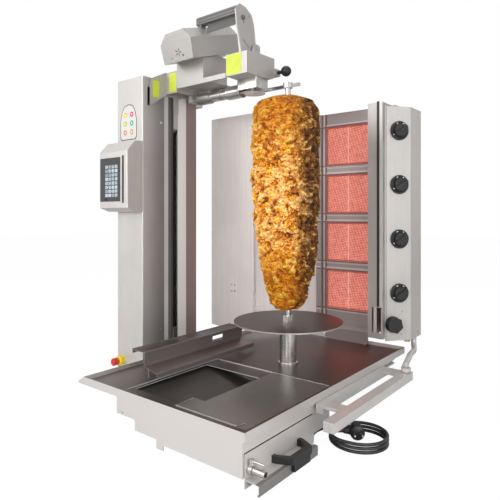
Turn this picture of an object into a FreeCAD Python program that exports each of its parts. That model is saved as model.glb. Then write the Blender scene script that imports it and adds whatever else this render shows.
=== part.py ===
import FreeCAD, Part
import math
import os

from FreeCAD import Vector

# Automatic doner kebab grill. Millimetres, +Z up. The origin is on the table under the spit's axis,
# +X runs along the fascia to the right and +Y runs to the back, where the burners stand.

# General sheet and clearances
SHEET = 2.0
SEAT_GAP = 0.3
RUN_GAP = 0.05

# Base plate and fascia
BASE_WIDTH = 575.0
BASE_DEPTH = 856.0
BASE_RIGHT = 222.0
BASE_BACK = 373.0
BASE_LEFT = BASE_RIGHT - BASE_WIDTH
BASE_FRONT = BASE_BACK - BASE_DEPTH
PLATE_TOP = 115.0
RIM_TOP = PLATE_TOP + 10.0
RIM_HEIGHT = 21.0
RIM_WIDTH = 5.0
WING_REACH = 25.0
HOUSING_LEFT = -205.0
HOUSING_RIGHT = 216.0
HOUSING_BACK = -125.0
STEP_1_X = -132.0
STEP_2_X = -51.0
TAB_X = -27.0
STEP_1_Z = 62.0
STEP_2_Z = 36.0
FLOOR_Z = 28.0
TAB_Z = 15.0

# Sunk ledge, well and sliding cover
LEDGE_DEPTH = 5.0
SINK_LEFT = -205.0
SINK_RIGHT = 200.0
SINK_FRONT = BASE_FRONT + 31.0
SINK_BACK = -97.0
WELL_LEFT = -195.0
WELL_RIGHT = 195.0
WELL_FRONT = BASE_FRONT + 53.0
WELL_BACK = -158.0
COVER_LEFT = 15.0
COVER_TONGUE = 41.0
COVER_TONGUE_BACK = BASE_FRONT + 99.0
COVER_LIP = 3.0
COVER_SLOT = 4.5
COVER_TRAVEL = 175.0
CHUTE_HIGH = PLATE_TOP - 9.0
CHUTE_LOW = PLATE_TOP - 33.0
CHUTE_END = -15.0

# Drip drawer, handle and drain valve
DRAWER_BACK = -208.0
DRAWER_TOP = 78.0
DRAWER_LEFT = -25.0
DRAWER_FACE_LOW = 6.0
SHELF_Z = 26.0
SHELF_X = 256.0
SHELF_BACK = -250.0
HANDLE_Y = BASE_FRONT + 105.0
HANDLE_SPACING = 100.0
HANDLE_REACH = 47.0
HANDLE_BAR = 14.0
HANDLE_BOTTOM = 10.0
HANDLE_TOP = 42.0
VALVE_Y = BASE_FRONT + 19.0
VALVE_Z = 44.0
PIPE_R = 7.5
LEVER_R = 2.5

# Feet and the frame under the plate
FOOT_H = 10.0
FOOT_R = 13.0
LEG_RIGHT = BASE_RIGHT - 112.0
LEG_LEFT = BASE_LEFT + 53.0
LEG_Y = BASE_BACK - 28.0
PAD_R = 30.0
LEG = 30.0
BRIDGE_TOP = 112.0
GUIDE_FRONT = -122.0
GUIDE_BACK = 300.0

# Deflector trough
TROUGH_FRONT = -368.0
TROUGH_BACK = 60.0
TROUGH_WALL_X = -231.0
TROUGH_FLANGE = 56.0
TROUGH_TOP = 188.0
TROUGH_BEND = 149.0
TROUGH_TOE_X = -182.0
TROUGH_TOE = 137.0
TROUGH_DROP = 12.0

# Pedestal, turntable, spit and meat
PEDESTAL_R = 26.0
PEDESTAL_FOOT_R = 30.0
PEDESTAL_FOOT_H = 6.0
TURN_R = 167.0
TURN_Z = 243.0
TURN_THICK = 4.0
SPIT_R = 8.5
SPIT_TOP = 981.0
NUT_R = 17.0
NUT_H = 15.0
SHAFT_R = 12.0
BEARING_H = 12.0
MEAT_PROFILE = [(35, 286), (52, 301), (62, 341), (81, 409), (92, 495), (102, 649),
                (102, 833), (98, 895), (71, 926), (45, 938)]

# Spit drive in its box below the plate
BOX_X = 92.0
BOX_Y = 92.0
BOX_BOTTOM = 12.0
GEAR_TEETH = 40
PINION_TEETH = 16
GEAR_MODULE = 2.0
GEAR_Z = 40.0
GEAR_WIDTH = 12.0
BACKLASH = 0.5

# Control tower
TOWER_LEFT = -631.0
TOWER_RIGHT = -491.0
TOWER_FRONT = -164.0
TOWER_BACK = -66.0
TOWER_TOP = 1051.0
VENT_Y = -143.0
VENT_W = 15.0
VENT_LOW = TOWER_TOP - 98.0
VENT_HIGH = TOWER_TOP - 33.0
PANEL_LEFT = -644.0
PANEL_DEPTH = 65.5
PANEL_LOW = 596.0
PANEL_HIGH = 788.0
SCREEN_X = -642.0
SCREEN_W = 114.0
SCREEN_Z = 618.0
SCREEN_H = 150.0
SCREEN_PROUD = 1.5
STRIP_X = -519.0
STRIP_W = 11.0
BUTTON_X = -609.0
BUTTON_Z = 625.5
BUTTON_R = 5.0
BUTTON_TRAVEL = 1.5
STOP_X = -603.0
STOP_Z = 54.0
STOP_R = 17.0
STOP_COLLAR = 20.0
STOP_STEM_R = 8.0
STOP_HEAD_R = 13.0
STOP_HEAD_H = 17.0
STOP_TRAVEL = 5.0

# Lift column and its drive
COLUMN_LEFT = -600.0
COLUMN_BACK = 96.0
COLUMN_WALL = 3.0
SLOT_FRONT = -22.0
SLOT_BACK = 0.0
SLOT_BOTTOM = 160.0
GROOVE_FRONT = -40.0
GROOVE_DEPTH = 1.0
RAIL_W = 30.0
RAIL_D = 14.0
SCREW_X = -545.0
SCREW_Y = 45.0
SCREW_R = 8.0
MOTOR_SIZE = 60.0
MOTOR_TOP = 100.0
BLOCK_BOTTOM = 880.0
BLOCK_TOP = 1040.0

# Carriage and arm
SPINE_LEFT = -488.5
SPINE_RIGHT = -430.0
ARM_FRONT = -62.0
ARM_BACK = 88.0
SPINE_BOTTOM = 1003.0
SPINE_TOP = SPINE_BOTTOM + 77.0
RAIL_BOTTOM = SPINE_BOTTOM + 13.0
RAIL_TOP = RAIL_BOTTOM + 16.0
RAIL_THICK = 9.0
NECK_BACK = 60.0
NECK_RIGHT = -302.0
END_LEFT = -202.0
END_RIGHT = -115.0
END_FRONT = -59.0
END_BOTTOM = RAIL_BOTTOM + 4.0
END_TOP = END_BOTTOM + 76.0
KNOB_X = -78.0
KNOB_Y = 103.0
KNOB_Z = 1051.7
KNOB_R = 17.5
LOCK_R = 6.0

# Cutter drive below the arm
CUT_Y = 25.0
CUT_Z = END_BOTTOM - 30.0
WHEEL_X = -400.0
WHEEL_L = 55.0
WHEEL_R = 23.0
WHEEL_TEETH = 30
SPINDLE_R = 8.0
MOTOR_R = 23.0
GEARBOX_X = -200.0
GEARBOX_L = 82.0
GEARBOX_W = 66.0
BLADE_X = -158.0
BLADE_R = 42.0
BLADE_Z = CUT_Z - 16.0
BLADE_THICK = 3.0

# Tilting head
HEAD_TILT = 17.5
HEAD_Y = -122.0
HEAD_Z = RAIL_BOTTOM + 67.5
HEAD_LENGTH = 245.0
HEAD_SECTION = [(-425.5, 0), (-288.4, 0), (-281.9, 63.5), (-308.4, 96), (-392, 94), (-425.3, 62.7)]
HEAD_WALL = 0.965
PIVOT_Y = 20.0
PIVOT_Z = HEAD_Z + 34.5
PIVOT_R = 5.0
SIDE_X = -152.0
SIDE_THICK = 4.0
SIDE_OUTLINE = [(-65.5, -23), (12, -6), (-1, 79), (-14, 108), (-45, 124), (-75, 127),
                (-85, 118), (-95, 105), (-88, 54)]
BAR_LEFT = -324.0
BAR_Y = -56.0
BAR_Z = PIVOT_Z + 105.0
BAR_SIZE = 27.0

# Top support of the spit
SUPPORT_Y = 135.0
SUPPORT_Z = 1010.0
SUPPORT_SIZE = 10.0
SUPPORT_END = -45.0
EYE_Z = 970.0
EYE_R = 15.0
EYE_H = 16.0

# Burner unit
WALL_Y = 403.0
WALL_LEFT = -117.0
POST_W = 20.0
WINDOW_LEFT = -94.0
WINDOW_W = 181.0
WINDOW_H = 145.0
WINDOW_Z = [831.0, 650.0, 471.0, 292.0]
BORDER = 7.0
TILE_THICK = 12.0
CASE_DEPTH = 50.0
UNIT_BACK = 480.0
UNIT_BOTTOM = 158.0
UNIT_TOP = 955.0
SHIELD_LEFT = 125.0
SHIELD_FRONT = 295.0
SHIELD_TOP = 948.0
LEDGE_Y = 351.0
LEDGE_BOTTOM = 120.0
LEDGE_LEFT = -73.0
LEDGE_RIGHT = 99.0
KNOB_LEFT = 178.0
KNOB_RIGHT = 239.0
KNOB_FRONT = 313.0
KNOB_CORNER = 385.0
KNOB_LOW = 149.0
KNOB_HIGH = 937.0
GAS_KNOB_Z = [855.0, 674.0, 491.0, 309.5]
GAS_KNOB_SHARE = 0.54
GAS_KNOB_R = 32.0
GAS_KNOB_H = 24.0
SPIT_KNOB_Z = 205.0
SPIT_KNOB_SHARE = 0.29
SPIT_KNOB_R = 27.0
STEM_R = 5.0
MANIFOLD_X = 205.0
MANIFOLD_Y = 440.0
MANIFOLD_R = 9.0
INLET_R = 10.5
INLET_DROP = 20.0
WING_Y = 205.0
WING_LEFT = -482.0
WING_HINGE = -299.0
WING_BOTTOM = 130.5
HINGE_R = 3.0
KNUCKLE = 30.0
KNUCKLE_HEIGHTS = (WING_BOTTOM + 99.5, WING_BOTTOM + 409.5, WING_BOTTOM + 719.5)

# Slide frame at the right of the base
FRAME_RIGHT = 320.0
FRAME_BAR = 28.0
FRAME_Z = 82.0
FRAME_H = 24.0
FRAME_FRONT = -288.0
FRAME_BACK = 188.0
INNER_BAR = 20.0
STRIP_FRONT = -205.0
STRIP_NEAR = 37.0
STRIP_FAR = 45.0
RIB_Z = 90.0
RIB_H = 7.0
RIB_LEFT = 210.0
TUBE_R = 9.0
PIN_X = 305.0
PIN_Y = 172.0

# Mains cord
CORD_D = 8.0
COIL_X = 300.0
COIL_Y = -127.0
COIL_R = 71.0
COIL_PITCH = 9.4
COIL_START = 112.0
COIL_TURNING = 922.0
COIL_LIFT = 1.0
PLUG_R = 19.0
PLUG_THICK = 28.0
PLUG_X = 285.0
PLUG_Y = -107.0
PLUG_LIFT = 19.5
PRONG_R = 2.4
PRONG_L = 19.0
PRONG_SPACING = 19.0


def box(x0, x1, y0, y1, z0, z1):
    """Box between two corners."""
    return Part.makeBox(x1 - x0, y1 - y0, z1 - z0, Vector(x0, y0, z0))


def rod(radius, start, axis, length):
    """Round bar from a point along an axis."""
    return Part.makeCylinder(radius, length, Vector(*start), Vector(*axis))


def extrude(points, along):
    """Straight-sided outline pushed along a vector."""
    corners = [Vector(*p) for p in points]
    return Part.Face(Part.makePolygon(corners + corners[:1])).extrude(Vector(*along))


def profile_y(points, y0, y1):
    """Outline in X and Z pushed along Y."""
    return extrude([(x, y0, z) for x, z in points], (0, y1 - y0, 0))


def profile_x(points, x0, x1):
    """Outline in Y and Z pushed along X."""
    return extrude([(x0, y, z) for y, z in points], (x1 - x0, 0, 0))


def profile_z(points, z0, z1):
    """Outline in X and Y pushed along Z."""
    return extrude([(x, y, z0) for x, y in points], (0, 0, z1 - z0))


def hexagon(radius, centre, height):
    """Upright hexagonal prism."""
    points = []
    for i in range(6):
        angle = math.radians(60 * i)
        points.append((centre[0] + radius * math.cos(angle), centre[1] + radius * math.sin(angle)))
    return profile_z(points, centre[2], centre[2] + height)


def fuse(*shapes):
    """One solid from touching pieces."""
    return shapes[0].fuse(list(shapes[1:])).removeSplitter()


def turned(shape, centre, axis, angle):
    """Copy of a shape turned about an axis."""
    copy = shape.copy()
    copy.rotate(Vector(*centre), Vector(*axis), angle)
    return copy


def round_edges(shape, radius, chosen):
    """Fillet the edges that a test picks."""
    return shape.makeFillet(radius, [edge for edge in shape.Edges if chosen(edge)])


def upright(edge):
    """True for a straight vertical edge."""
    return edge.BoundBox.ZLength > 1 and abs(edge.BoundBox.ZLength - edge.Length) < 0.01


def across(edge):
    """True for a straight edge along X."""
    return abs(edge.BoundBox.XLength - edge.Length) < 0.01


def save(node, *shapes):
    """Write one node; separate solids stay separate."""
    shape = shapes[0] if len(shapes) == 1 else Part.makeCompound(list(shapes))
    shape.exportStep("parts/" + node + ".step")


def gear(teeth, bore, centre, width, phase):
    """Spur gear with straight-flanked teeth, its outline worked out from the tooth count."""
    pitch_r = teeth * GEAR_MODULE / 2.0
    root_r = pitch_r - 1.25 * GEAR_MODULE
    tip_r = pitch_r + 0.9 * GEAR_MODULE
    slack = BACKLASH / 2 / pitch_r
    pitch = 2 * math.pi / teeth
    points = []
    for i in range(teeth):
        middle = phase + i * pitch
        for share, radius in ((-0.37, root_r), (-0.14, tip_r), (0.14, tip_r), (0.37, root_r)):
            angle = middle + share * pitch - math.copysign(slack, share)
            points.append((centre[0] + radius * math.cos(angle), centre[1] + radius * math.sin(angle)))
    blank = profile_z(points, GEAR_Z, GEAR_Z + width)
    return blank.cut(rod(bore, (centre[0], centre[1], GEAR_Z - 1), (0, 0, 1), width + 2))


def build_base():
    """Top plate with fascia, rims and sunk ledge; lower housing; chute; feet; frame below."""
    rim_low = RIM_TOP - RIM_HEIGHT
    under = PLATE_TOP - SHEET
    inside = BASE_FRONT + SHEET
    wing_x = BASE_LEFT - WING_REACH
    fascia = profile_y(
        [(BASE_LEFT, RIM_TOP), (BASE_RIGHT, RIM_TOP), (BASE_RIGHT, rim_low), (HOUSING_RIGHT, rim_low),
         (HOUSING_RIGHT, FLOOR_Z), (TAB_X, FLOOR_Z), (TAB_X, TAB_Z), (STEP_2_X, TAB_Z), (STEP_2_X, STEP_2_Z),
         (STEP_1_X, STEP_2_Z), (STEP_1_X, STEP_1_Z), (HOUSING_LEFT, STEP_1_Z), (HOUSING_LEFT, rim_low),
         (wing_x, rim_low - 1), (wing_x, rim_low + 5)], BASE_FRONT, inside)
    plate = box(BASE_LEFT + RIM_WIDTH, BASE_RIGHT, inside, BASE_BACK, under, PLATE_TOP)
    plate = plate.cut(box(SINK_LEFT, SINK_RIGHT, SINK_FRONT, SINK_BACK, under - 1, PLATE_TOP + 1))
    plate = plate.cut(rod(SHAFT_R + 4, (0, 0, under - 1), (0, 0, 1), SHEET + 2))
    ledge_low = PLATE_TOP - LEDGE_DEPTH
    ledge = box(SINK_LEFT - SHEET, SINK_RIGHT + SHEET, SINK_FRONT - SHEET, SINK_BACK + SHEET, ledge_low, PLATE_TOP)
    ledge = ledge.cut(box(SINK_LEFT, SINK_RIGHT, SINK_FRONT, SINK_BACK, ledge_low + SHEET, PLATE_TOP + 1))
    ledge = ledge.cut(box(WELL_LEFT, WELL_RIGHT, WELL_FRONT, WELL_BACK, ledge_low - 1, PLATE_TOP))
    right_rim = box(BASE_RIGHT - RIM_WIDTH, BASE_RIGHT, inside, BASE_BACK, rim_low, RIM_TOP)
    back_rim = box(BASE_LEFT, BASE_RIGHT, BASE_BACK - RIM_WIDTH, BASE_BACK, under, RIM_TOP)
    wing = profile_y(
        [(BASE_LEFT + RIM_WIDTH, under), (BASE_LEFT + RIM_WIDTH, RIM_TOP), (BASE_LEFT, RIM_TOP),
         (wing_x, rim_low + 5), (wing_x, rim_low - 1), (wing_x + SHEET, rim_low - 1),
         (wing_x + SHEET, rim_low + 3.5), (BASE_LEFT, RIM_TOP - 3), (BASE_LEFT + SHEET, RIM_TOP - 3),
         (BASE_LEFT + SHEET, under)], inside, BASE_BACK)
    save("top_plate", fuse(fascia, plate, ledge, right_rim, back_rim, wing))

    wall_out = [(HOUSING_LEFT, ledge_low), (HOUSING_LEFT, STEP_1_Z), (STEP_1_X, STEP_1_Z), (STEP_1_X, STEP_2_Z),
                (STEP_2_X, STEP_2_Z), (STEP_2_X, FLOOR_Z), (HOUSING_RIGHT, FLOOR_Z), (HOUSING_RIGHT, under),
                (SINK_RIGHT + SHEET, under), (SINK_RIGHT + SHEET, ledge_low)]
    wall_in = [(HOUSING_LEFT + SHEET, PLATE_TOP), (HOUSING_LEFT + SHEET, STEP_1_Z + SHEET),
               (STEP_1_X + SHEET, STEP_1_Z + SHEET), (STEP_1_X + SHEET, STEP_2_Z + SHEET),
               (STEP_2_X + SHEET, STEP_2_Z + SHEET), (STEP_2_X + SHEET, FLOOR_Z + SHEET),
               (HOUSING_RIGHT - SHEET, FLOOR_Z + SHEET), (HOUSING_RIGHT - SHEET, PLATE_TOP)]
    housing = profile_y(wall_out, inside, HOUSING_BACK)
    housing = housing.cut(profile_y(wall_in, inside - 1, HOUSING_BACK - SHEET))
    mouth = box(HOUSING_RIGHT - 5, HOUSING_RIGHT + 1, inside + SHEET, DRAWER_BACK - SHEET,
                FLOOR_Z + SHEET, DRAWER_TOP + SHEET)
    save("base_housing", housing.cut(mouth))

    left = HOUSING_LEFT + SHEET
    chute = profile_y([(left, CHUTE_HIGH), (left, CHUTE_HIGH - SHEET), (CHUTE_END, CHUTE_LOW - SHEET),
                       (CHUTE_END + SHEET, CHUTE_LOW - SHEET), (CHUTE_END, CHUTE_LOW)],
                      inside, HOUSING_BACK - SHEET)
    save("meat_chute", chute)

    feet = []
    floor = FLOOR_Z
    tower_y = TOWER_FRONT + 18
    for x, y, top in ((-30, BASE_FRONT + 53, floor), (180, BASE_FRONT + 183, floor),
                      (-39, HOUSING_BACK - 15, floor), (140, HOUSING_BACK - 15, floor),
                      (LEG_RIGHT, LEG_Y, FOOT_H), (LEG_LEFT, LEG_Y, FOOT_H),
                      (TOWER_LEFT + 19, tower_y, FOOT_H), (TOWER_RIGHT - 21, tower_y, FOOT_H),
                      (COLUMN_LEFT + 18, COLUMN_BACK - 18, FOOT_H), (TOWER_RIGHT - 21, COLUMN_BACK - 18, FOOT_H)):
        feet.append(Part.makeCone(FOOT_R - 3, FOOT_R, top, Vector(x, y, 0)))
    feet.append(rod(PAD_R, (0, 0, 0), (0, 0, 1), BOX_BOTTOM))
    save("feet", *feet)

    drive_box = box(-BOX_X, BOX_X, -BOX_Y, BOX_Y, BOX_BOTTOM, under)
    drive_box = drive_box.cut(box(SHEET - BOX_X, BOX_X - SHEET, SHEET - BOX_Y, BOX_Y - SHEET,
                                  BOX_BOTTOM + SHEET, under + 1))
    boss = rod(SHAFT_R + 8, (0, 0, BOX_BOTTOM + SHEET), (0, 0, 1), BEARING_H + 6)
    boss = boss.cut(rod(SHAFT_R + RUN_GAP, (0, 0, BOX_BOTTOM + SHEET + 2), (0, 0, 1), 40))
    legs = []
    for x in (LEG_RIGHT, LEG_LEFT):
        leg = box(x - LEG / 2, x + LEG / 2, LEG_Y - LEG / 2, LEG_Y + LEG / 2, FOOT_H, under)
        inner = LEG / 2 - SHEET
        legs.append(leg.cut(box(x - inner, x + inner, LEG_Y - inner, LEG_Y + inner, FOOT_H + SHEET, under + 1)))
    bridge = box(TOWER_RIGHT, wing_x + 45, -150, 80, 88, BRIDGE_TOP - 10)
    bridge = bridge.cut(box(TOWER_RIGHT + 3, wing_x + 42, -147, 77, 80, BRIDGE_TOP - 13))
    riser = box(BASE_LEFT + RIM_WIDTH + 2, wing_x + 45, -150, 80, 88, under)
    guide = box(RIB_LEFT - 6, HOUSING_RIGHT + 0.5, GUIDE_FRONT, GUIDE_BACK, RIB_Z - 6, under)
    groove = box(RIB_LEFT - SEAT_GAP, HOUSING_RIGHT + 1, GUIDE_FRONT - 1, GUIDE_BACK + 1,
                 RIB_Z - SEAT_GAP, RIB_Z + RIB_H + SEAT_GAP)
    save("under_frame", fuse(drive_box, boss), legs[0], legs[1], fuse(bridge, riser), guide.cut(groove))


def build_cover():
    """Sliding cover of the well, with its front lip, tongue and two slots."""
    low = PLATE_TOP - LEDGE_DEPTH + SHEET + SEAT_GAP
    front = SINK_FRONT + SHEET
    right = SINK_RIGHT - SHEET
    tongue = COVER_LEFT - COVER_TONGUE
    cover = profile_z([(tongue, front), (right, front), (right, SINK_BACK - SHEET - 1),
                       (COVER_LEFT, SINK_BACK - SHEET - 1), (COVER_LEFT, COVER_TONGUE_BACK),
                       (tongue, COVER_TONGUE_BACK)], low, low + SHEET)
    lip = box(tongue + 8, right - 29, front, front + 4, low + SHEET, low + SHEET + COVER_LIP)
    cover = fuse(cover, lip)
    for x, y, length in ((tongue + 2.5, front + 31, 30), (right - 26, front + 2, 24)):
        cover = cover.cut(box(x, x + COVER_SLOT, y, y + length, low - 1, low + SHEET + 1))
    save("slide_cover", cover)


def build_drawer():
    """Drip drawer with shelf front, bow handle, drain valve and its lever."""
    front = BASE_FRONT + 2 * SHEET + 5
    back = DRAWER_BACK - 2 * SHEET
    low = FLOOR_Z + SHEET + SEAT_GAP
    face = HOUSING_RIGHT + SEAT_GAP
    near = BASE_FRONT + 5
    tray = box(DRAWER_LEFT, face, front, back, low, DRAWER_TOP - SHEET)
    tray = tray.cut(box(DRAWER_LEFT + SHEET, face - SHEET, front + SHEET, back - SHEET, low + SHEET, DRAWER_TOP))
    plate = box(face, face + SHEET, near, DRAWER_BACK + SHEET, DRAWER_FACE_LOW, DRAWER_TOP)
    shelf = box(face, SHELF_X, near, SHELF_BACK, SHELF_Z - SHEET, SHELF_Z)
    lip = box(SHELF_X - SHEET, SHELF_X, near, SHELF_BACK, 5, SHELF_Z)
    roll = rod(2.5, (SHELF_X - 2.5, near, 4.5), (0, 1, 0), SHELF_BACK - near)
    drawer = fuse(tray, plate, shelf, lip, roll)
    drawer = drawer.cut(rod(PIPE_R + RUN_GAP, (face - SHEET - 1, VALVE_Y, VALVE_Z), (1, 0, 0), 6))
    grip = face + SHEET
    save("drawer_box", drawer)

    out = grip + HANDLE_REACH
    y0 = HANDLE_Y - 7
    y1 = HANDLE_Y + HANDLE_SPACING
    z0 = SHELF_Z
    outer = profile_z([(grip, y0), (grip + 10, y0), (out, y0 + 18), (out, y1 - 12), (grip + 10, y1 + 7), (grip, y1 + 7)],
                      z0, HANDLE_TOP)
    outer = round_edges(outer, 5, lambda e: upright(e) and e.BoundBox.XMin > grip + 5)
    inner = profile_z([(grip - 1, y0 + 10), (grip + 9, y0 + 10), (out - HANDLE_BAR, y0 + 24), (out - HANDLE_BAR, y1 - 22),
                       (grip + 9, y1 - 4), (grip - 1, y1 - 4)], z0 - 1, HANDLE_TOP + 1)
    skirt = box(SHELF_X, out, y0 + 22, y1 - 20, HANDLE_BOTTOM, z0)
    pad_near = box(grip, grip + 3, y0, y0 + 10, z0, HANDLE_TOP)
    save("drawer_handle", fuse(outer.cut(inner), skirt, pad_near))

    body = rod(11, (grip, VALVE_Y, VALVE_Z), (1, 0, 0), 12)
    pipe = rod(PIPE_R, (face - SHEET, VALVE_Y, VALVE_Z), (1, 0, 0), 47)
    stub = rod(6, (grip + 6, VALVE_Y, VALVE_Z), (0, 0, 1), 15)
    bore = rod(PIPE_R - 1.5, (face - SHEET - 1, VALVE_Y, VALVE_Z), (1, 0, 0), 60)
    socket = rod(3 + RUN_GAP, (grip + 6, VALVE_Y, VALVE_Z + 8), (0, 0, 1), 20)
    save("drain_valve", fuse(body, pipe, stub).cut(bore).cut(socket))
    stem = rod(3, (grip + 6, VALVE_Y, VALVE_Z + 8.5), (0, 0, 1), 10)
    cap = rod(6, (grip + 6, VALVE_Y, VALVE_Z + 15 + SEAT_GAP), (0, 0, 1), 6)
    arm = rod(LEVER_R, (grip + 8, VALVE_Y, VALVE_Z + 18.3), (1, 0, 0), 32)
    save("drain_lever", fuse(stem, cap, arm))


def build_trough():
    """Folded sheet deflector that lies along the well on two legs."""
    path = [(TROUGH_WALL_X - TROUGH_FLANGE, TROUGH_TOP - 10), (TROUGH_WALL_X - TROUGH_FLANGE, TROUGH_TOP),
            (TROUGH_WALL_X, TROUGH_TOP), (TROUGH_WALL_X - 4, TROUGH_BEND), (TROUGH_TOE_X, TROUGH_TOE),
            (TROUGH_TOE_X, TROUGH_TOE - TROUGH_DROP)]
    pieces = []
    for (x0, z0), (x1, z1) in zip(path, path[1:]):
        length = math.hypot(x1 - x0, z1 - z0)
        nx = (z1 - z0) / length * SHEET
        nz = (x0 - x1) / length * SHEET
        pieces.append(profile_y([(x0, z0), (x1, z1), (x1 + nx, z1 + nz), (x0 + nx, z0 + nz)],
                                TROUGH_FRONT, TROUGH_BACK))
    for x, z in path[1:-1]:
        pieces.append(rod(SHEET, (x, TROUGH_FRONT, z), (0, 1, 0), TROUGH_BACK - TROUGH_FRONT))
    sheet = fuse(*pieces)
    notch = box(TROUGH_WALL_X - 12, TROUGH_WALL_X + 8, -90, -40, TROUGH_BEND + 12, TROUGH_TOP - 8)
    legs = []
    for y in (TROUGH_FRONT + 13, TROUGH_BACK - 15):
        legs.append(box(TROUGH_WALL_X - 5, TROUGH_WALL_X + 3, y, y + SHEET, PLATE_TOP, TROUGH_BEND))
    save("deflector_trough", fuse(sheet.cut(notch), *legs))


def build_spit():
    """Pedestal, turntable, spit, meat, gears and the gear motor below the plate."""
    height = TURN_Z - 3 - PLATE_TOP
    pedestal = fuse(rod(PEDESTAL_R, (0, 0, PLATE_TOP), (0, 0, 1), height),
                    rod(PEDESTAL_FOOT_R, (0, 0, PLATE_TOP), (0, 0, 1), PEDESTAL_FOOT_H))
    pedestal = pedestal.cut(rod(PEDESTAL_R - 4, (0, 0, PLATE_TOP + SHEET), (0, 0, 1), height))
    top_ring = rod(PEDESTAL_R - 3, (0, 0, TURN_Z - 6 - BEARING_H), (0, 0, 1), BEARING_H)
    pedestal = fuse(pedestal, top_ring).cut(rod(SHAFT_R + RUN_GAP, (0, 0, PLATE_TOP - 1), (0, 0, 1), height + 9))
    save("pedestal_tube", pedestal)

    disc = rod(TURN_R, (0, 0, TURN_Z), (0, 0, 1), TURN_THICK)
    hub = rod(22, (0, 0, TURN_Z - 2.7), (0, 0, 1), 3)
    slot = turned(box(-20, 20, -2.5, 2.5, TURN_Z - 1, TURN_Z + 9), (0, 0, 0), (0, 0, 1), 12)
    slot.translate(Vector(-63, 97, 0))
    turntable = fuse(disc, hub).cut(slot)
    shaft_top = TURN_Z - 2.7
    save("turntable", turntable.cut(rod(SPIT_R + RUN_GAP, (0, 0, shaft_top - 1), (0, 0, 1), 20)))
    deck = TURN_Z + TURN_THICK
    tip = Part.makeCone(SPIT_R, 3, 10, Vector(0, 0, SPIT_TOP - 10))
    spit = fuse(rod(SPIT_R, (0, 0, shaft_top), (0, 0, 1), SPIT_TOP - 10 - shaft_top), tip,
                hexagon(NUT_R, (0, 0, deck), NUT_H))
    save("spit_rod", spit)
    spit_gear = gear(GEAR_TEETH, SHAFT_R - 0.5, (0, 0), GEAR_WIDTH, 0.0)
    low = BOX_BOTTOM + SHEET + 2.3
    save("drive_shaft", fuse(rod(SHAFT_R, (0, 0, low), (0, 0, 1), shaft_top - low), spit_gear))

    points = [Vector(r, 0, z) for r, z in MEAT_PROFILE]
    curve = Part.BSplineCurve()
    curve.interpolate(points)
    bore = SPIT_R + SEAT_GAP
    closing = Part.makePolygon([points[-1], Vector(bore, 0, points[-1].z), Vector(bore, 0, points[0].z), points[0]])
    meat = Part.Face(Part.Wire([curve.toShape()] + closing.Edges))
    save("doner_meat", meat.revolve(Vector(0, 0, 0), Vector(0, 0, 1), 360))

    reach = (GEAR_TEETH + PINION_TEETH) * GEAR_MODULE / 2 + 0.2
    pinion = gear(PINION_TEETH, 4.5, (-reach, 0), GEAR_WIDTH, math.pi / PINION_TEETH)
    stub = rod(5, (-reach, 0, GEAR_Z), (0, 0, 1), GEAR_WIDTH + 16)
    save("motor_pinion", fuse(pinion, stub))
    motor = box(-BOX_X + SHEET + 2, -reach + 24, -34, 34, GEAR_Z + GEAR_WIDTH + 4, PLATE_TOP - SHEET)
    save("spit_gearmotor", motor.cut(rod(5 + RUN_GAP, (-reach, 0, GEAR_Z), (0, 0, 1), GEAR_WIDTH + 18)))


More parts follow.
